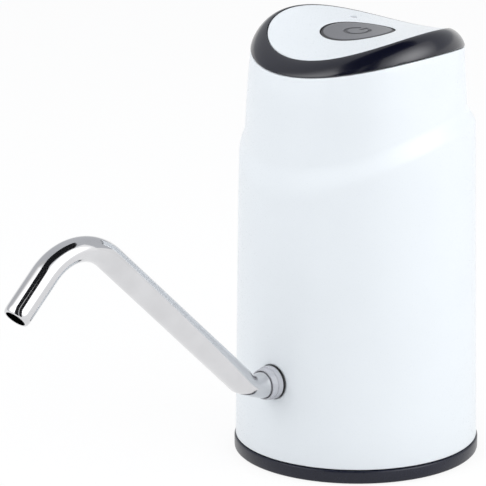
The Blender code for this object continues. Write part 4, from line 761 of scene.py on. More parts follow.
# Housing: rows of faces, the neck's waist, charging slot, screw bosses
ROW_GAP = 0.011
ROW_LEVEL = 0.06
WAIST_LEVEL_SHARE = 2 / 5
WAIST_WIDTH_SHARE = 2 / 3
SLOT_WIDTH = 0.0092
SLOT_HEIGHT = 0.0042
BOSS_RADIUS = 0.0029
BOSS_HEIGHT = 0.015
PILOT_RADIUS = 0.0016
PILOT_DEPTH = 0.0087

# Steps along the housing's rows, outside and then inside
FADE_STEPS = 14
SHOULDER_STEPS = 14
WAIST_STEPS = 6
RIM_STEPS = 8
RIM_INNER_STEPS = 4
WAIST_INNER_STEPS = 3
FADE_INNER_STEPS = 8
SLOT_STEPS = 8


class PUMP_OT_housing(Operator):
    """Turn the white shell with its tilted shoulder, and cut the spout's hole and the charging slot"""

    bl_idname = "pump.housing"
    bl_label = "Housing shell"

    def execute(self, context):
        size, spout = context.scene.pump_shell, context.scene.pump_spout
        foot, inner = SHELL_LOW.z, size.wall
        neck_foot = size.shoulder_level + size.shoulder_height
        draft = (size.foot_radius - size.shoulder_radius) / (size.shoulder_level - foot)
        fade = size.shoulder_level - size.fade_below

        def wall_radius(height):
            return size.foot_radius - draft * (height - foot)

        step_in = size.shoulder_radius - size.neck_radius
        shoulder = [
            (
                size.shoulder_radius - step_in * smooth_step(step / SHOULDER_STEPS),
                size.shoulder_level + size.shoulder_height * step / SHOULDER_STEPS,
            )
            for step in range(SHOULDER_STEPS + 1)
        ]
        waist = neck_foot + (size.rim_level - neck_foot) * WAIST_LEVEL_SHARE
        waist_radius = size.rim_radius + (size.neck_radius - size.rim_radius) * WAIST_WIDTH_SHARE
        rows = (spout.level - ROW_GAP, spout.level + ROW_GAP, ROW_LEVEL)
        waist_outside, waist_inside = (waist_radius, waist), (waist_radius - inner, waist)
        rim_outside = (size.rim_radius, size.rim_level)
        rim_inside = (size.rim_radius - inner, size.rim_level)
        neck_inside = (size.neck_radius - inner, neck_foot)
        fade_outside, fade_inside = (wall_radius(fade), fade), (wall_radius(fade) - inner, fade)
        shoulder_inside = (size.shoulder_radius - inner, size.shoulder_level - inner / 2)
        profile = [
            (size.foot_radius, foot, EDGE_FOOT),
            *[(wall_radius(z), z) for z in rows],
            *between(fade_outside, (size.shoulder_radius, size.shoulder_level), FADE_STEPS),
            *shoulder,
            *between((size.neck_radius, neck_foot), waist_outside, WAIST_STEPS)[1:],
            *between(waist_outside, rim_outside, RIM_STEPS),
            (*rim_outside, EDGE_RIM),
            rim_inside,
            *between(rim_inside, waist_inside, RIM_INNER_STEPS)[1:],
            *between(waist_inside, neck_inside, WAIST_INNER_STEPS),
            neck_inside,
            *between(shoulder_inside, fade_inside, FADE_INNER_STEPS),
            fade_inside,
            *[(wall_radius(z) - inner, z) for z in reversed(rows)],
            (size.foot_radius - inner, foot),
        ]
        shell = on_axis(saddled(turned(profile, size.sides)))
        wall_at_spout = wall_radius(spout.level)
        wall_inside = wall_at_spout - inner
        gasket_seat = AXIS_Y - GASKET_HIGH.y - CLEAR
        boss_face = wall_inside - spout.boss_depth
        boss = rod(spout.boss_radius, boss_face, wall_at_spout - inner / 2, INNER_SIDES)
        sleeve = spout.sleeve_radius + CLEAR
        throat = spout.radius + CLEAR + CLEAR
        stairs = [
            (0, boss_face - PAST),
            (sleeve, boss_face - PAST),
            (sleeve, wall_inside),
            (throat, wall_inside),
            (throat, gasket_seat),
            (spout.face_radius, gasket_seat),
            (spout.face_radius, wall_at_spout + PAST),
            (0, wall_at_spout + PAST),
        ]
        boss = outward(boss, spout.level)
        hole = outward(turned(stairs, MIDDLE_SIDES), spout.level)
        slot_ends = (size.rim_radius - inner - PAST, size.neck_radius + PAST)
        slot = slot_block(SLOT_WIDTH, SLOT_HEIGHT, *slot_ends, SLOT_STEPS)
        moved(slot, z=middle_of_box("usb_socket").z)
        bosses, pilots = [], []
        for x, y in base_screw_places():
            bosses.append(rod(BOSS_RADIUS, foot, foot + BOSS_HEIGHT, SMALL_SIDES, x, y))
            pilots.append(rod(PILOT_RADIUS, foot - PAST, foot + PILOT_DEPTH, SMALL_SIDES, x, y))
        new_piece(
            "housing",
            shell,
            finish_of("shell_white"),
            "housing_shell",
            add=[on_axis(joined([boss, *bosses]))],
            cut=[on_axis(joined([hole, slot, *pilots]))],
        )
        return {"FINISHED"}


def base_screw_places():
    """X and Y of the three base screws, about the body axis."""
    middles = [middle_of_box(f"base_screw_{number}") for number in (1, 2, 3)]
    return [(middle.x, middle.y - AXIS_Y) for middle in middles]


# Band: the ledge under the cover and the ring in the shell
BAND_LEDGE_DEPTH = 0.0015
BAND_SPIGOT_WALL = 0.0016
BAND_SPIGOT_DEPTH = 0.004
BAND_STEPS = 20
BAND_SPIGOT_STEPS = 3


class PUMP_OT_trim_band(Operator):
    """Turn the dark fillet that runs round the saddle top"""

    bl_idname = "pump.trim_band"
    bl_label = "Trim band"

    def execute(self, context):
        size = context.scene.pump_shell
        foot = size.rim_level + CLEAR
        seat = size.cover_level - size.cover_thickness - CLEAR
        width, height = size.rim_radius - size.cover_radius, size.cover_level - foot
        spigot = size.rim_radius - size.wall - CLEAR
        inside, spigot_foot = spigot - BAND_SPIGOT_WALL, foot - BAND_SPIGOT_DEPTH
        ledge = size.cover_radius - size.ledge_width
        angles = [math.pi / 2 * step / BAND_STEPS for step in range(1, BAND_STEPS)]
        profile = [
            (size.rim_radius, foot, EDGE_BAND),
            *[
                (
                    size.cover_radius + width * math.cos(angle) ** size.band_slack,
                    foot + height * math.sin(angle) ** size.band_slack,
                )
                for angle in angles
            ],
            (size.cover_radius, size.cover_level, EDGE_LIP),
            (size.cover_radius, seat),
            (ledge, seat),
            (ledge, seat - BAND_LEDGE_DEPTH),
            (inside, foot),
            *between((inside, foot), (inside, spigot_foot), BAND_SPIGOT_STEPS)[1:],
            (inside, spigot_foot, EDGE_FOOT),
            (spigot, spigot_foot, EDGE_FOOT),
            (spigot, foot),
        ]
        band = on_axis(saddled(turned(profile, size.sides)))
        new_piece("band", band, finish_of("trim_black"), "trim_band")
        return {"FINISHED"}


# Cover: the ring under it, bosses of the board, hole of the light
COVER_SPIGOT_WALL = 0.0017
COVER_SPIGOT_DEPTH = 0.003
COVER_BOSS_RADIUS = 0.0027
COVER_PILOT_RADIUS = 0.0012
COVER_LIGHT_RADIUS = 0.0014
COVER_TOP_STEPS = 12
COVER_UNDER_STEPS = 5


class PUMP_OT_top_cover(Operator):
    """Turn the saddle cover, with the button's opening and the hole of the status light"""

    bl_idname = "pump.top_cover"
    bl_label = "Top cover"

    def execute(self, context):
        size = context.scene.pump_shell
        opening = size.button_radius + CLEAR
        edge = size.cover_radius - CLEAR
        top, under = size.cover_level, size.cover_level - size.cover_thickness
        spigot = size.cover_radius - size.ledge_width - CLEAR
        inner = spigot - COVER_SPIGOT_WALL
        profile = [
            (opening, top, EDGE_BAND),
            *between((opening, top), (edge, top), COVER_TOP_STEPS)[1:],
            (edge, top, EDGE_RIM),
            (edge, under),
            (spigot, under),
            (spigot, under - COVER_SPIGOT_DEPTH),
            (inner, under - COVER_SPIGOT_DEPTH),
            (inner, under),
            *between((inner, under), (opening, under), COVER_UNDER_STEPS)[1:],
            (opening, under),
        ]
        cover = saddled(turned(profile, size.sides))
        low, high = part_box("board_screw_1")
        boss_x = abs(low.x + high.x) / 2
        middle = (top + under) / 2
        boss_top = middle + lift(boss_x, 0, middle)
        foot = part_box("control_board")[1].z + CLEAR
        bosses, pilots = [], []
        for x in (-boss_x, boss_x):
            bosses.append(rod(COVER_BOSS_RADIUS, foot, boss_top, BOSS_SIDES, x))
            pilot = rod(COVER_PILOT_RADIUS, foot - PAST, high.z + CLEAR, SMALL_SIDES, x)
            pilots.append(pilot)
        place = (size.light_x, size.light_y)
        hole = rod(COVER_LIGHT_RADIUS, under - PAST, top + PAST, BOSS_SIDES, *place)
        made = new_piece(
            "cover",
            on_axis(cover),
            finish_of("shell_white"),
            "top_cover",
            add=[on_axis(joined(bosses))],
            cut=[on_axis(joined([hole, *pilots]))],
        )
        made.data.materials.append(finish_of("rim_grey"))
        # The steep wall of the button's opening takes the second finish, painted shade for the gap round
        # the button.
        for polygon in made.data.polygons:
            x, y, _ = polygon.center
            if math.hypot(x, y - AXIS_Y) < opening + CLEAR and abs(polygon.normal.z) < STEEP:
                polygon.material_index = 1
        return {"FINISHED"}


# Button: its wall, the stem over the switch, the symbol's bar
BUTTON_SKIRT = 0.0012
BUTTON_STEM_RADIUS = 0.0022
BUTTON_STEM_GAP = 0.00003
BUTTON_BAR_FOOT_SHARE = 0.35
BUTTON_BAR_TIP_SHARE = 1.25
BUTTON_TOP_STEPS = 10
BUTTON_RING_STEPS = 48


class PUMP_OT_button(Operator):
    """Turn the press button and sink the power symbol into it"""

    bl_idname = "pump.button"
    bl_label = "Button"

    # The chamfer, the side wall and the faces under it are painted dark, as the shade in the gap round
    # the button.
    rim_width: length_prop("Rim width", "Width of the dark chamfer round the button", 0.0008)
    rim_drop: length_prop("Rim drop", "Height of the dark chamfer round the button", 0.0004)
    symbol_radius: length_prop("Symbol radius", "Radius of the power symbol's ring", 0.0038)
    symbol_line: length_prop("Symbol line", "Width of the power symbol's lines", 0.0013)
    symbol_depth: length_prop("Symbol depth", "Depth of the power symbol's groove", 0.00025)
    symbol_gap: angle_prop("Symbol gap", "Opening of the power symbol's ring", 52)

    def execute(self, context):
        size = context.scene.pump_shell
        top, under = size.cover_level, size.cover_level - size.cover_thickness
        radius = size.button_radius
        box_low, box_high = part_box("button_cap")
        flange, stem_foot = box_high.x, box_low.z + BUTTON_STEM_GAP
        rim = radius - self.rim_width
        profile = [
            (0, top),
            *between((0, top), (rim, top), BUTTON_TOP_STEPS)[1:],
            (rim, top),
            (radius, top - self.rim_drop),
            (radius, under - CLEAR),
            (flange, under - CLEAR),
            (flange, under - BUTTON_SKIRT),
            (radius - BUTTON_SKIRT, under - BUTTON_SKIRT),
            (radius - BUTTON_SKIRT, under),
            (BUTTON_STEM_RADIUS, under),
            (BUTTON_STEM_RADIUS, stem_foot),
            (0, stem_foot),
        ]
        cap = saddled(turned(profile, MIDDLE_SIDES))
        made = new_piece(
            "button",
            on_axis(cap),
            finish_of("button_grey"),
            "button_cap",
            cut=[on_axis(self.symbol(top))],
        )
        made.data.materials.append(finish_of("symbol_grey"))
        made.data.materials.append(finish_of("rim_grey"))
        for polygon in made.data.polygons:
            x, y, z = polygon.center
            y -= AXIS_Y
            off = abs(top + lift(x, y, top) - z - self.symbol_depth)
            if off < self.symbol_depth / 5 and polygon.normal.z > FLAT:
                polygon.material_index = 1
            # The chamfer and every face outside it take painted shade.
            if math.hypot(x, y) > rim + WELD:
                polygon.material_index = 2
        return {"FINISHED"}

    def symbol(self, top):
        """The open ring and the bar of the power symbol, which follow the saddle."""
        deep = top - self.symbol_depth
        half = self.symbol_line / 2
        ring = bmesh.new()
        section = [
            ring.verts.new((self.symbol_radius + x, 0, z))
            for x, z in ((-half, deep), (half, deep), (half, top + PAST), (-half, top + PAST))
        ]
        face = ring.faces.new(section)
        first = Matrix.Rotation(math.pi / 2 + self.symbol_gap / 2, 3, "Z")
        bmesh.ops.rotate(ring, verts=ring.verts, cent=(0, 0, 0), matrix=first)
        spin = {"axis": (0, 0, 1), "cent": (0, 0, 0), "steps": BUTTON_RING_STEPS}
        geom = [face, *face.edges, *face.verts]
        bmesh.ops.spin(ring, geom=geom, angle=math.tau - self.symbol_gap, **spin)
        bmesh.ops.recalc_face_normals(ring, faces=ring.faces)
        foot, tip = self.symbol_radius * BUTTON_BAR_FOOT_SHARE, self.symbol_radius * BUTTON_BAR_TIP_SHARE
        sunk = joined([ring, block((-half, foot, deep), (half, tip, top + PAST))])
        for vert in sunk.verts:
            vert.co.z += lift(vert.co.x, vert.co.y, top)
        return sunk


# Status light
LIGHT_RADIUS = 0.0011
LIGHT_FLANGE_HEIGHT = 0.001


class PUMP_OT_status_light(Operator):
    """Turn the clear pipe that shows the status light beside the button"""

    bl_idname = "pump.status_light"
    bl_label = "Status light"

    def execute(self, context):
        size = context.scene.pump_shell
        low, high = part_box("light_pipe")
        radius, flange = LIGHT_RADIUS, (high.x - low.x) / 2
        place = (size.light_x, size.light_y)
        under = size.cover_level - size.cover_thickness
        flange_top = under - CLEAR + lift(*place, under)
        profile = [
            (0, low.z),
            (radius, low.z, EDGE_LIP),
            (radius, flange_top - LIGHT_FLANGE_HEIGHT),
            (flange, flange_top - LIGHT_FLANGE_HEIGHT),
            (flange, flange_top),
            (radius, flange_top),
            (radius, high.z, EDGE_BAND),
            (0, high.z),
        ]
        pipe = moved(turned(profile, LIGHT_SIDES), *place)
        new_piece("light_lens", on_axis(pipe), finish_of("light_clear"), "light_pipe")
        return {"FINISHED"}


# Base: socket for the neck, lip in the shell, screw wells, pillars
BASE_BORE = 0.0286
BASE_EASE = 0.0002
BASE_CUP_WALL = 0.002
BASE_ROW_LEVEL = 0.012
BASE_FLOOR = 0.003
BASE_LIP_HEIGHT = 0.0033
BASE_LIP_INSIDE = 0.0345
BASE_NIPPLE_HOLE = 0.0043
BASE_WELL_RADIUS = 0.0027
BASE_WELL_DEPTH = 0.002
BASE_SCREW_HOLE = 0.0016
BASE_BOSS_HOLE = 0.0032
BASE_PILLAR_RADIUS = 0.003
BASE_PILLAR_ROOT = 0.001
BASE_PILOT_RADIUS = 0.0014
BASE_PILOT_DEPTH = 0.0028


class PUMP_OT_base_cup(Operator):
    """Turn the dark base with its ring, the socket for the bottle's neck and the screw wells"""

    bl_idname = "pump.base_cup"
    bl_label = "Base cup"

    def execute(self, context):
        size = context.scene.pump_shell
        lip = size.foot_radius - size.wall - CLEAR
        lip_top = size.ring_height + BASE_LIP_HEIGHT
        profile = [
            (BASE_BORE + BASE_EASE, 0, EDGE_MOUTH),
            (size.ring_radius, 0, EDGE_RING),
            (size.ring_radius, size.ring_height, EDGE_DECK),
            (lip, size.ring_height),
            (lip, lip_top, EDGE_FOOT),
            (BASE_LIP_INSIDE, lip_top),
            (BASE_LIP_INSIDE, BASE_FLOOR),
            (BASE_BORE + BASE_CUP_WALL, BASE_FLOOR),
            (BASE_BORE + BASE_CUP_WALL, size.deck_top, EDGE_DECK),
            (BASE_NIPPLE_HOLE, size.deck_top),
            (BASE_NIPPLE_HOLE, size.deck_foot, EDGE_FOOT),
            (BASE_BORE, size.deck_foot),
            (BASE_BORE, BASE_ROW_LEVEL),
        ]
        well = [
            (0, -PAST),
            (BASE_WELL_RADIUS, -PAST),
            (BASE_WELL_RADIUS, BASE_WELL_DEPTH),
            (BASE_SCREW_HOLE, BASE_WELL_DEPTH),
            (BASE_SCREW_HOLE, size.ring_height),
            (BASE_BOSS_HOLE, size.ring_height),
            (BASE_BOSS_HOLE, lip_top + PAST),
            (0, lip_top + PAST),
        ]
        wells = [moved(turned(well, BOSS_SIDES), x, y) for x, y in base_screw_places()]
        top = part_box("base_cup")[1].z
        pillars, holes = [], []
        for number in (1, 2):
            screw = f"chassis_screw_{number}"
            middle, pilot_foot = middle_of_box(screw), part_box(screw)[0].z - BASE_PILOT_DEPTH
            place = (middle.x, middle.y - AXIS_Y)
            root = size.deck_top - BASE_PILLAR_ROOT
            pillars.append(rod(BASE_PILLAR_RADIUS, root, top, BOSS_SIDES, *place))
            holes.append(rod(BASE_PILOT_RADIUS, pilot_foot, top + PAST, SMALL_SIDES, *place))
        new_piece(
            "base",
            on_axis(turned(profile, size.sides)),
            finish_of("ring_black"),
            "base_cup",
            add=[on_axis(joined(pillars))],
            cut=[on_axis(joined(wells + holes))],
        )
        return {"FINISHED"}


def faces_within(start, bounds):
    """Every face that can be reached from one without crossing the bounding edges."""
    found, fresh = set(), {start}
    while fresh:
        found |= fresh
        crossed = {edge for face in fresh for edge in face.edges} - bounds
        fresh = {face for edge in crossed for face in edge.link_faces} - found
    return found


def narrow_bend(tube, centre, start, ahead, angle, radius, flat):
    """Flattens a tube in the plane of a bend about centre, most in the middle of the bend."""
    back = (start - centre).normalized()
    bend = (start - centre).length
    for vert in tube.verts:
        arm = vert.co - centre
        arm.x = 0
        share = math.atan2(arm.dot(ahead), arm.dot(back)) / angle
        out = arm.length - bend
        if 0 < share < 1 and abs(out) < radius + WELD:
            vert.co -= arm.normalized() * (out * flat * math.sin(math.pi * share))


def middle_of(loops):
    """The vertices of a ring of edges, and their mean place."""
    verts = {vert for edge in loops for vert in edge.verts}
    return verts, sum((vert.co for vert in verts), Vector()) / len(verts)


def parts_of(items, kind):
    return [item for item in items if isinstance(item, kind)]


# Spout: edges sharper than this are its lips, their rounding, and steps along its bends
TUBE_LIP_ANGLE = math.radians(60)
TUBE_LIP_ROUND_SHARE = 1 / 8
TUBE_ELBOW_STEPS = 20
TUBE_CREST_STEPS = 40
TUBE_NOSE_STEPS = 8


class PUMP_OT_spout_tube(Operator):
    """Bend the steel tube of the spout from the socket to its mouth"""

    bl_idname = "pump.spout_tube"
    bl_label = "Spout tube"

    sides: count_prop("Sides", "Facets round the tube", 56)

    def execute(self, context):
        size = context.scene.pump_spout
        inner_end = AXIS_Y - TUBE_HIGH.y
        elbow_run = size.elbow_bend * math.tan(size.rise / 2)
        turn = size.rise + size.fall
        crest_run = size.crest_bend * math.tan(turn / 2)
        tube = bmesh.new()
        for radius in (size.radius, size.radius - size.wall):
            bmesh.ops.create_circle(tube, segments=self.sides, radius=radius)
        outward(tube, size.level)
        moved(tube, y=-inner_end)
        loops = list(tube.edges)
        ends = [loops]

        def straight(loops, length, slope):
            made = bmesh.ops.extrude_edge_only(tube, edges=loops)["geom"]
            way = (0, -length * math.cos(slope), length * math.sin(slope))
            bmesh.ops.translate(tube, verts=parts_of(made, bmesh.types.BMVert), vec=way)
            return parts_of(made, bmesh.types.BMEdge)

        def bent(loops, radius, slope, angle, steps, flat):
            verts, start = middle_of(loops)
            side = math.copysign(radius, angle)
            centre = start + Vector((0, side * math.sin(slope), side * math.cos(slope)))
            spin = {"axis": (-1, 0, 0), "cent": centre, "steps": steps, "angle": angle}
            made = bmesh.ops.spin(tube, geom=[*verts, *loops], **spin)["geom_last"]
            ahead = Vector((0, -math.cos(slope), math.sin(slope)))
            narrow_bend(tube, centre, start, ahead, abs(angle), size.radius, flat)
            return parts_of(made, bmesh.types.BMEdge)

        loops = straight(loops, size.elbow_reach - elbow_run - inner_end, 0)
        loops = bent(loops, size.elbow_bend, 0, size.rise, TUBE_ELBOW_STEPS, size.elbow_flat)
        loops = straight(loops, size.arm - elbow_run - crest_run, size.rise)
        crest = (TUBE_CREST_STEPS, size.crest_flat)
        loops = bent(loops, size.crest_bend, size.rise, -turn, *crest)
        loops = straight(loops, size.drop - crest_run - size.nose, -size.fall)
        angles = [math.pi / 2 * step / TUBE_NOSE_STEPS for step in range(TUBE_NOSE_STEPS + 1)]
        draw = size.radius - size.mouth_radius
        for before, after in zip(angles, angles[1:]):
            run = size.nose * (math.sin(after) - math.sin(before))
            loops = straight(loops, run, -size.fall)
            verts, middle = middle_of(loops)
            narrowed = size.mouth_radius + draw * math.cos(after)
            narrowed /= size.mouth_radius + draw * math.cos(before)
            for vert in verts:
                vert.co = middle + (vert.co - middle) * narrowed
        ends.append(loops)
        bore = (size.radius - size.wall) / size.radius
        for end in ends:
            verts, middle = middle_of(end)
            reach = max((vert.co - middle).length for vert in verts)
            outer = [edge for edge in end if (edge.verts[0].co - middle).length > reach - WELD]
            made = bmesh.ops.extrude_edge_only(tube, edges=outer)["geom"]
            for vert in parts_of(made, bmesh.types.BMVert):
                vert.co = middle + (vert.co - middle) * bore
        bmesh.ops.remove_doubles(tube, verts=tube.verts, dist=WELD)
        bmesh.ops.recalc_face_normals(tube, faces=tube.faces)
        lips = [
            edge
            for edge in tube.edges
            if len(edge.link_faces) == 2 and edge.calc_face_angle() > TUBE_LIP_ANGLE
        ]
        # The faces inside the tube, between its lips, take the second finish, which is painted shade in
        # the bore.
        inside = Vector((0, -(inner_end + size.elbow_reach - elbow_run) / 2, size.level))
        first = min(tube.faces, key=lambda face: (face.calc_center_median() - inside).length)
        for face in faces_within(first, set(lips)):
            face.material_index = 1
        rounded(tube, lips, size.wall * TUBE_LIP_ROUND_SHARE)
        steel = finish_of("spout_steel")
        made = new_piece("spout", on_axis(tube), steel, "spout_tube")
        # Painted shade inside the bore.
        made.data.materials.append(finish_of("bore_dark"))
        return {"FINISHED"}


class PUMP_OT_spout_collar(Operator):
    """Turn the stepped collar and the dark gasket behind it"""

    bl_idname = "pump.spout_collar"
    bl_label = "Spout collar and gasket"

    def execute(self, context):
        size = context.scene.pump_spout
        back, front = AXIS_Y - COLLAR_HIGH.y - size.gasket_squeeze, AXIS_Y - COLLAR_LOW.y
        flange, bore = COLLAR_HIGH.x, size.radius + size.collar_fit
        flange_front = AXIS_Y - COLLAR_HIGH.y + size.flange_thickness
        edge = (flange - size.nose_radius) / 2
        profile = [
            (bore, back, edge / 4),
            (flange, back, edge),
            (flange, flange_front, edge),
            (size.nose_radius, flange_front, edge / 2),
            (size.nose_radius, front, edge),
            (bore, front, edge / 4),
        ]
        collar = on_axis(outward(turned(profile, MIDDLE_SIDES), size.level))
        new_piece("collar", collar, finish_of("collar_grey"), "spout_collar")
        back, front = AXIS_Y - GASKET_HIGH.y, AXIS_Y - GASKET_LOW.y - size.gasket_squeeze
        bore = size.radius + CLEAR
        profile = [
            (bore, back),
            (GASKET_HIGH.x, back, edge),
            (GASKET_HIGH.x, front, edge),
            (bore, front),
        ]
        gasket = on_axis(outward(turned(profile, MIDDLE_SIDES), size.level))
        new_piece("gasket", gasket, finish_of("rubber_black"), "spout_gasket")
        return {"FINISHED"}


def barb_points(stem, tip, low, high, count):
    """The outer side of a hose barb from high to low, its teeth steepest towards low."""
    pitch = (high - low) / count
    points = []
    for number in range(count):
        foot = high - number * pitch
        points += [(stem, foot), (tip, foot - pitch / 2, EDGE_BARB)]
    return points + [(stem, low)]


# Intake: flange, barbs and bore of the nipple, then the seal
INTAKE_FLANGE_HEIGHT = 0.0017
INTAKE_STEM = 0.0034
INTAKE_TIP = 0.004
INTAKE_BORE = 0.0014
INTAKE_UPPER_STEM = 0.0018
INTAKE_UPPER_TIP = 0.0022
INTAKE_SEAL_WIDTH = 0.0037
INTAKE_SEAL_LIP = 0.0013
INTAKE_SEAL_WALL = 0.0014


class PUMP_OT_intake(Operator):
    """Turn the intake nipple and the soft ring that seals on the bottle's neck"""

    bl_idname = "pump.intake"
    bl_label = "Intake nipple and neck seal"

    def execute(self, context):
        size = context.scene.pump_shell
        low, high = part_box("intake_nipple")
        flange_foot = size.deck_top + CLEAR
        flange_top = flange_foot + INTAKE_FLANGE_HEIGHT
        profile = [
            (high.x, flange_foot, EDGE_FOOT),
            (INTAKE_STEM, flange_foot),
            *barb_points(INTAKE_STEM, INTAKE_TIP, low.z, size.deck_foot, 3),
            (INTAKE_BORE, low.z),
            (INTAKE_BORE, high.z),
            *reversed(barb_points(INTAKE_UPPER_STEM, INTAKE_UPPER_TIP, high.z, flange_top, 2)),
            (high.x, flange_top, EDGE_FOOT),
        ]
        nipple = on_axis(turned(profile, INNER_SIDES))
        new_piece("nipple", nipple, finish_of("inner_white"), "intake_nipple")
        low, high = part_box("neck_seal")
        outer, lip, skirt = high.x, high.x - INTAKE_SEAL_WIDTH, high.x - INTAKE_SEAL_WALL
        profile = [
            (outer, high.z, EDGE_BAND),
            (lip, high.z, EDGE_BAND),
            (lip, high.z - INTAKE_SEAL_LIP, EDGE_SEAL),
            (skirt, high.z - INTAKE_SEAL_LIP),
            (skirt, low.z, EDGE_DECK),
            (outer, low.z, EDGE_DECK),
        ]
        seal = on_axis(turned(profile, SEAL_SIDES))
        new_piece("seal", seal, finish_of("silicone_milky"), "neck_seal")
        return {"FINISHED"}


# Charging socket: its sheet, and how its tongue stands in it
SOCKET_SHEET = 0.0003
SOCKET_INSET = 0.0017
SOCKET_SETBACK = 0.001
SOCKET_UNDER = 0.0002
SOCKET_OVER = 0.00055


class PUMP_OT_usb_socket(Operator):
    """Form the charging socket with its tongue, seen through the slot at the back"""

    bl_idname = "pump.usb_socket"
    bl_label = "Charging socket"

    def execute(self, context):
        low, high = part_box("usb_socket")
        sheet, level = SOCKET_SHEET, (low.z + high.z) / 2
        shell = block(low, high, EDGE_DECK)
        room_low = low + Vector((sheet, sheet, sheet))
        room_high = high - Vector((sheet, -PAST, sheet))
        tongue = block(
            (low.x + SOCKET_INSET, low.y + sheet / 2, level - SOCKET_UNDER),
            (high.x - SOCKET_INSET, high.y - SOCKET_SETBACK, level + SOCKET_OVER),
        )
        room = block(room_low, room_high, EDGE_FOOT)
        zinc = finish_of("zinc")
        made = new_piece("charging_socket", shell, zinc, "usb_socket", cut=[room])
        combined(made, tongue, "UNION")
        shade(made.data)
        return {"FINISHED"}


# Screws: shares of the shank's radius, of the head and of its height
SCREW_CORE_SHARE = 0.8
SCREW_PITCH_SHARE = 0.7
SCREW_SPACING_SHARE = 1.05
SCREW_POINT_SHARE = 0.6
SCREW_CROWN_SHARE = 0.45
SCREW_ARM_SHARE = 0.62
SCREW_SLIT_SHARE = 0.14
SCREW_CUT_DEPTH_SHARE = 0.6


class PUMP_OT_screws(Operator):
    """Turn every screw and cut the cross in its head"""

    bl_idname = "pump.screws"
    bl_label = "Screws"

    def execute(self, context):
        for kind, count, head_height, shank, on_top in SCREW_KINDS:
            for number in range(1, count + 1):
                self.screw(f"{kind}_{number}", head_height, shank, on_top)
        return {"FINISHED"}

    def screw(self, node, head_height, shank, on_top):
        low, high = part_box(node)
        head, length = (high.x - low.x) / 2, high.z - low.z
        core, pitch = shank * SCREW_CORE_SHARE, shank * SCREW_PITCH_SHARE
        thread = []
        height = head_height + pitch
        while height < length - pitch:
            thread += [(core, height), (shank, height + pitch / 2), (core, height + pitch)]
            height += pitch * SCREW_SPACING_SHARE
        profile = [
            (0, 0),
            (head, 0, head_height * SCREW_CROWN_SHARE),
            (head, head_height, EDGE_SCREW),
            (shank, head_height),
            *thread,
            (core * SCREW_POINT_SHARE, length),
            (0, length),
        ]
        shape = turned(profile, SMALL_SIDES)
        arm, half = head * SCREW_ARM_SHARE, head * SCREW_SLIT_SHARE
        deep = head_height * SCREW_CUT_DEPTH_SHARE
        cross = [
            block((-arm, -half, -PAST), (arm, half, deep)),
            block((-half, -arm, -PAST), (half, arm, deep)),
        ]
        middle = middle_of_box(node)
        place = Matrix.Translation((middle.x, middle.y, high.z if on_top else low.z))
        if on_top:
            place = place @ Matrix.Rotation(math.pi, 4, "X")
        for part in (shape, *cross):
            part.transform(place)
        cut = [joined(cross)]
        new_piece(f"{node}_fine", shape, finish_of("zinc"), node, cut=cut)


class PUMP_OT_inner_finishes(Operator):
    """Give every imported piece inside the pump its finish"""

    bl_idname = "pump.inner_finishes"
    bl_label = "Finishes inside"

    def execute(self, context):
        for name, nodes in INNER_FINISHES.items():
            for node in nodes:
                solid = frame["nodes"][node]
                if not solid.material_slots:
                    raise RuntimeError(f"{node} has no material slot")
                for slot in solid.material_slots:
                    slot.material = finish_of(name)
        return {"FINISHED"}


# Studio


def direction(azimuth, elevation):
    """A unit vector towards a place in the studio, its azimuth measured from the front."""
    level = math.cos(elevation)
    return Vector((math.sin(azimuth) * level, -math.cos(azimuth) * level, math.sin(elevation)))


def bare_nodes(owner, output):
    """A material or world with only its output node, a maker of its nodes, and its links."""
    owner.use_nodes = True
    tree = owner.node_tree
    tree.nodes.clear()
    return owner, tree.nodes, tree.links, tree.nodes.new(output).inputs["Surface"]


def shader_node(nodes, kind, **values):
    """A new node whose sockets get the given values, and its first output."""
    made = nodes.new(kind)
    fill(made, values)
    return made.outputs[0]


def mixed(nodes, links, share, first, second):
    """A shader mixed of two by a share, which is a number or a socket."""
    mix = nodes.new("ShaderNodeMixShader")
    if isinstance(share, float):
        mix.inputs["Fac"].default_value = share
    else:
        links.new(share, mix.inputs["Fac"])
    links.new(first, mix.inputs[1])
    links.new(second, mix.inputs[2])
    return mix.outputs["Shader"]


def seen_directly(nodes, links):
    """One for rays from the camera, straight, mirrored or through clear pieces, zero for others."""
    path = nodes.new("ShaderNodeLightPath")
    seen = path.outputs["Is Camera Ray"]
    for kind in ("Is Glossy Ray", "Is Transmission Ray"):
        either = nodes.new("ShaderNodeMath")
        either.operation = "MAXIMUM"
        links.new(seen, either.inputs[0])
        links.new(path.outputs[kind], either.inputs[1])
        seen = either.outputs["Value"]
    return seen


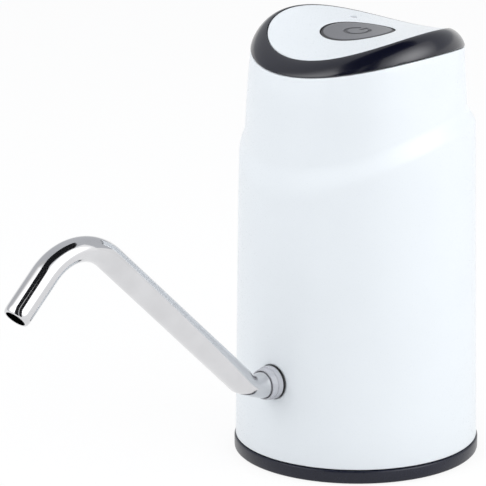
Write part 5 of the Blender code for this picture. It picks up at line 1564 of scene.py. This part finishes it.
class PUMP_OT_studio(Operator):
    """Set the camera, the pale floor, the softboxes and the world"""

    bl_idname = "pump.studio"
    bl_label = "Studio"

    def execute(self, context):
        self.camera(context)
        self.floor(context)
        self.world(context)
        self.flags(context)
        self.lamps(context)
        self.softbox_fronts()
        self.ceiling(context)
        context.scene.view_settings.view_transform = "Standard"
        return {"FINISHED"}

    def camera(self, context):
        studio = context.scene.pump_studio
        data = bpy.data.cameras.new("photo_camera")
        data.sensor_width = SENSOR_WIDTH
        data.sensor_fit = "HORIZONTAL"
        data.lens = studio.camera_focal
        data.clip_end = CAMERA_SIGHT
        camera = bpy.data.objects.new("photo_camera", data)
        azimuth, distance = studio.camera_azimuth, studio.camera_distance
        place = direction(azimuth, 0) * distance + Vector((0, AXIS_Y, studio.camera_height))
        turn = (
            Matrix.Rotation(azimuth, 4, "Z")
            @ Matrix.Rotation(studio.camera_yaw, 4, "Z")
            @ Matrix.Rotation(math.pi / 2 - studio.camera_pitch, 4, "X")
            @ Matrix.Rotation(studio.camera_roll, 4, "Z")
        )
        camera.matrix_world = Matrix.Translation(place) @ turn
        context.scene.collection.objects.link(camera)
        context.scene.camera = camera

    def floor(self, context):
        studio = context.scene.pump_studio
        shape = bmesh.new()
        bmesh.ops.create_grid(shape, x_segments=1, y_segments=1, size=FLOOR_REACH)
        floor = bare_object("floor", moved(shape, z=-CLEAR))
        owner = bpy.data.materials.new("floor_white")
        made, nodes, links, surface = bare_nodes(owner, "ShaderNodeOutputMaterial")
        plain = shader_node(nodes, "ShaderNodeBsdfDiffuse", Color=FLOOR_TONE)
        paper = shader_node(nodes, "ShaderNodeEmission", Strength=studio.paper_white)
        shaded_paper = shader_node(nodes, "ShaderNodeBsdfDiffuse", Color=WHITE)
        pale = mixed(nodes, links, studio.shadow_share, paper, shaded_paper)
        links.new(mixed(nodes, links, seen_directly(nodes, links), plain, pale), surface)
        floor.data.materials.append(made)

    def world(self, context):
        studio = context.scene.pump_studio
        owner = bpy.data.worlds.new("studio_world")
        made, nodes, links, surface = bare_nodes(owner, "ShaderNodeOutputWorld")
        kind = "ShaderNodeBackground"
        sky = shader_node(nodes, kind, Color=SKY_TONE, Strength=studio.sky_strength)
        paper = shader_node(nodes, kind, Color=WHITE, Strength=studio.paper_white)
        links.new(mixed(nodes, links, seen_directly(nodes, links), sky, paper), surface)
        context.scene.world = made

    def flags(self, context):
        """Dark cards beside and above the camera, which only polished pieces mirror."""
        owner = bpy.data.materials.new("flag_cloth")
        made, nodes, links, surface = bare_nodes(owner, "ShaderNodeOutputMaterial")
        tone = (*context.scene.pump_studio.flag_tone, 1)
        links.new(shader_node(nodes, "ShaderNodeBsdfDiffuse", Color=tone), surface)
        for name, corners in FLAGS.items():
            shape = bmesh.new()
            shape.faces.new([shape.verts.new(corner) for corner in corners])
            self.mirrored_card(name, shape, made)

    def mirrored_card(self, name, shape, finish):
        """A card on the stage that only glossy rays meet."""
        card = bare_object(name, shape)
        card.data.materials.append(finish)
        card.visible_camera = False
        card.visible_diffuse = False
        card.visible_shadow = False
        card.visible_transmission = False

    def ceiling(self, context):
        """A ceiling dimmer than the backdrop, which only polished pieces mirror."""
        studio = context.scene.pump_studio
        shape = bmesh.new()
        bmesh.ops.create_grid(shape, x_segments=1, y_segments=1, size=FLOOR_REACH)
        owner = bpy.data.materials.new("ceiling_paint")
        made, nodes, links, surface = bare_nodes(owner, "ShaderNodeOutputMaterial")
        kind, glow = "ShaderNodeEmission", studio.sky_strength
        links.new(shader_node(nodes, kind, Color=SKY_TONE, Strength=glow), surface)
        self.mirrored_card("ceiling", moved(shape, z=studio.ceiling_level), made)

    def softbox_place(self, azimuth, elevation, distance):
        """Place and turn of a softbox that faces the middle of the pump."""
        way = direction(math.radians(azimuth), math.radians(elevation))
        aim = Vector((0, AXIS_Y, (RING_LOW.z + SHELL_HIGH.z) / 2))
        turn = way.to_track_quat("Z", "Y").to_matrix().to_4x4()
        return Matrix.Translation(aim + way * distance) @ turn

    def lamps(self, context):
        studio = context.scene.pump_studio
        powers = {"key_softbox": studio.key_power, "fill_softbox": studio.fill_power}
        for name, (azimuth, elevation, distance, width, height) in SOFTBOXES.items():
            lamp = bpy.data.lights.new(name, "AREA")
            lamp.shape = "RECTANGLE"
            lamp.size, lamp.size_y = width, height
            lamp.energy = powers[name]
            made = bpy.data.objects.new(name, lamp)
            made.visible_camera = False
            made.visible_glossy = False
            made.matrix_world = self.softbox_place(azimuth, elevation, distance)
            context.scene.collection.objects.link(made)

    def softbox_fronts(self):
        """The glowing fronts of the softboxes, brightest in the middle, as polished pieces see them."""
        for name, (*place, width, height, rim_glow, glow) in SOFTBOX_FRONTS.items():
            shape = bmesh.new()
            shape.loops.layers.uv.new("front")
            bmesh.ops.create_grid(shape, x_segments=1, y_segments=1, size=1, calc_uvs=True)
            bmesh.ops.scale(shape, verts=shape.verts, vec=(width / 2, height / 2, 1))
            shape.transform(self.softbox_place(*place))
            owner = bpy.data.materials.new(f"{name}_glow")
            made, nodes, links, surface = bare_nodes(owner, "ShaderNodeOutputMaterial")
            cloth = nodes.new("ShaderNodeEmission")
            source = nodes.new("ShaderNodeTexCoord")
            centred = nodes.new("ShaderNodeMapping")
            fill(centred, {"Location": (-1, -1, 0), "Scale": (2, 2, 1)})
            fall = nodes.new("ShaderNodeTexGradient")
            fall.gradient_type = "SPHERICAL"
            ranged = nodes.new("ShaderNodeMapRange")
            ranged.interpolation_type = "SMOOTHSTEP"
            fill(ranged, {"To Min": rim_glow, "To Max": glow})
            links.new(source.outputs["UV"], centred.inputs["Vector"])
            links.new(centred.outputs["Vector"], fall.inputs["Vector"])
            links.new(fall.outputs["Fac"], ranged.inputs["Value"])
            links.new(ranged.outputs["Result"], cloth.inputs["Strength"])
            links.new(cloth.outputs["Emission"], surface)
            self.mirrored_card(name, shape, made)


STEPS = (
    PUMP_OT_base_cup,
    PUMP_OT_housing,
    PUMP_OT_trim_band,
    PUMP_OT_top_cover,
    PUMP_OT_button,
    PUMP_OT_status_light,
    PUMP_OT_spout_tube,
    PUMP_OT_spout_collar,
    PUMP_OT_intake,
    PUMP_OT_usb_socket,
    PUMP_OT_screws,
    PUMP_OT_inner_finishes,
    PUMP_OT_studio,
)


class PUMP_PT_looks(Panel):
    """Steps and sizes of the pump's looks"""

    bl_idname = "PUMP_PT_looks"
    bl_label = "Bottle pump"
    bl_space_type = "VIEW_3D"
    bl_region_type = "UI"
    bl_category = "Pump"

    def draw(self, context):
        layout = self.layout
        for step in STEPS:
            layout.operator(step.bl_idname)
        for name in ("pump_shell", "pump_spout", "pump_finishes", "pump_studio"):
            group = getattr(context.scene, name)
            box = layout.box()
            for key in group.__annotations__:
                box.prop(group, key)


GROUPS = (
    ("pump_shell", PumpShellSizes),
    ("pump_spout", PumpSpoutSizes),
    ("pump_finishes", PumpFinishes),
    ("pump_studio", PumpStudio),
)


def register():
    for name, group in GROUPS:
        bpy.utils.register_class(group)
        setattr(bpy.types.Scene, name, PointerProperty(type=group))
    for step in STEPS:
        bpy.utils.register_class(step)
    bpy.utils.register_class(PUMP_PT_looks)


def unregister():
    bpy.utils.unregister_class(PUMP_PT_looks)
    for step in reversed(STEPS):
        bpy.utils.unregister_class(step)
    for name, group in reversed(GROUPS):
        delattr(bpy.types.Scene, name)
        bpy.utils.unregister_class(group)


def main():
    register()
    bpy.ops.pump.base_cup()
    bpy.ops.pump.housing()
    bpy.ops.pump.trim_band()
    bpy.ops.pump.top_cover()
    bpy.ops.pump.button()
    bpy.ops.pump.status_light()
    bpy.ops.pump.spout_tube()
    bpy.ops.pump.spout_collar()
    bpy.ops.pump.intake()
    bpy.ops.pump.usb_socket()
    bpy.ops.pump.screws()
    bpy.ops.pump.inner_finishes()
    bpy.ops.pump.studio()


if __name__ == "__main__":
    main()
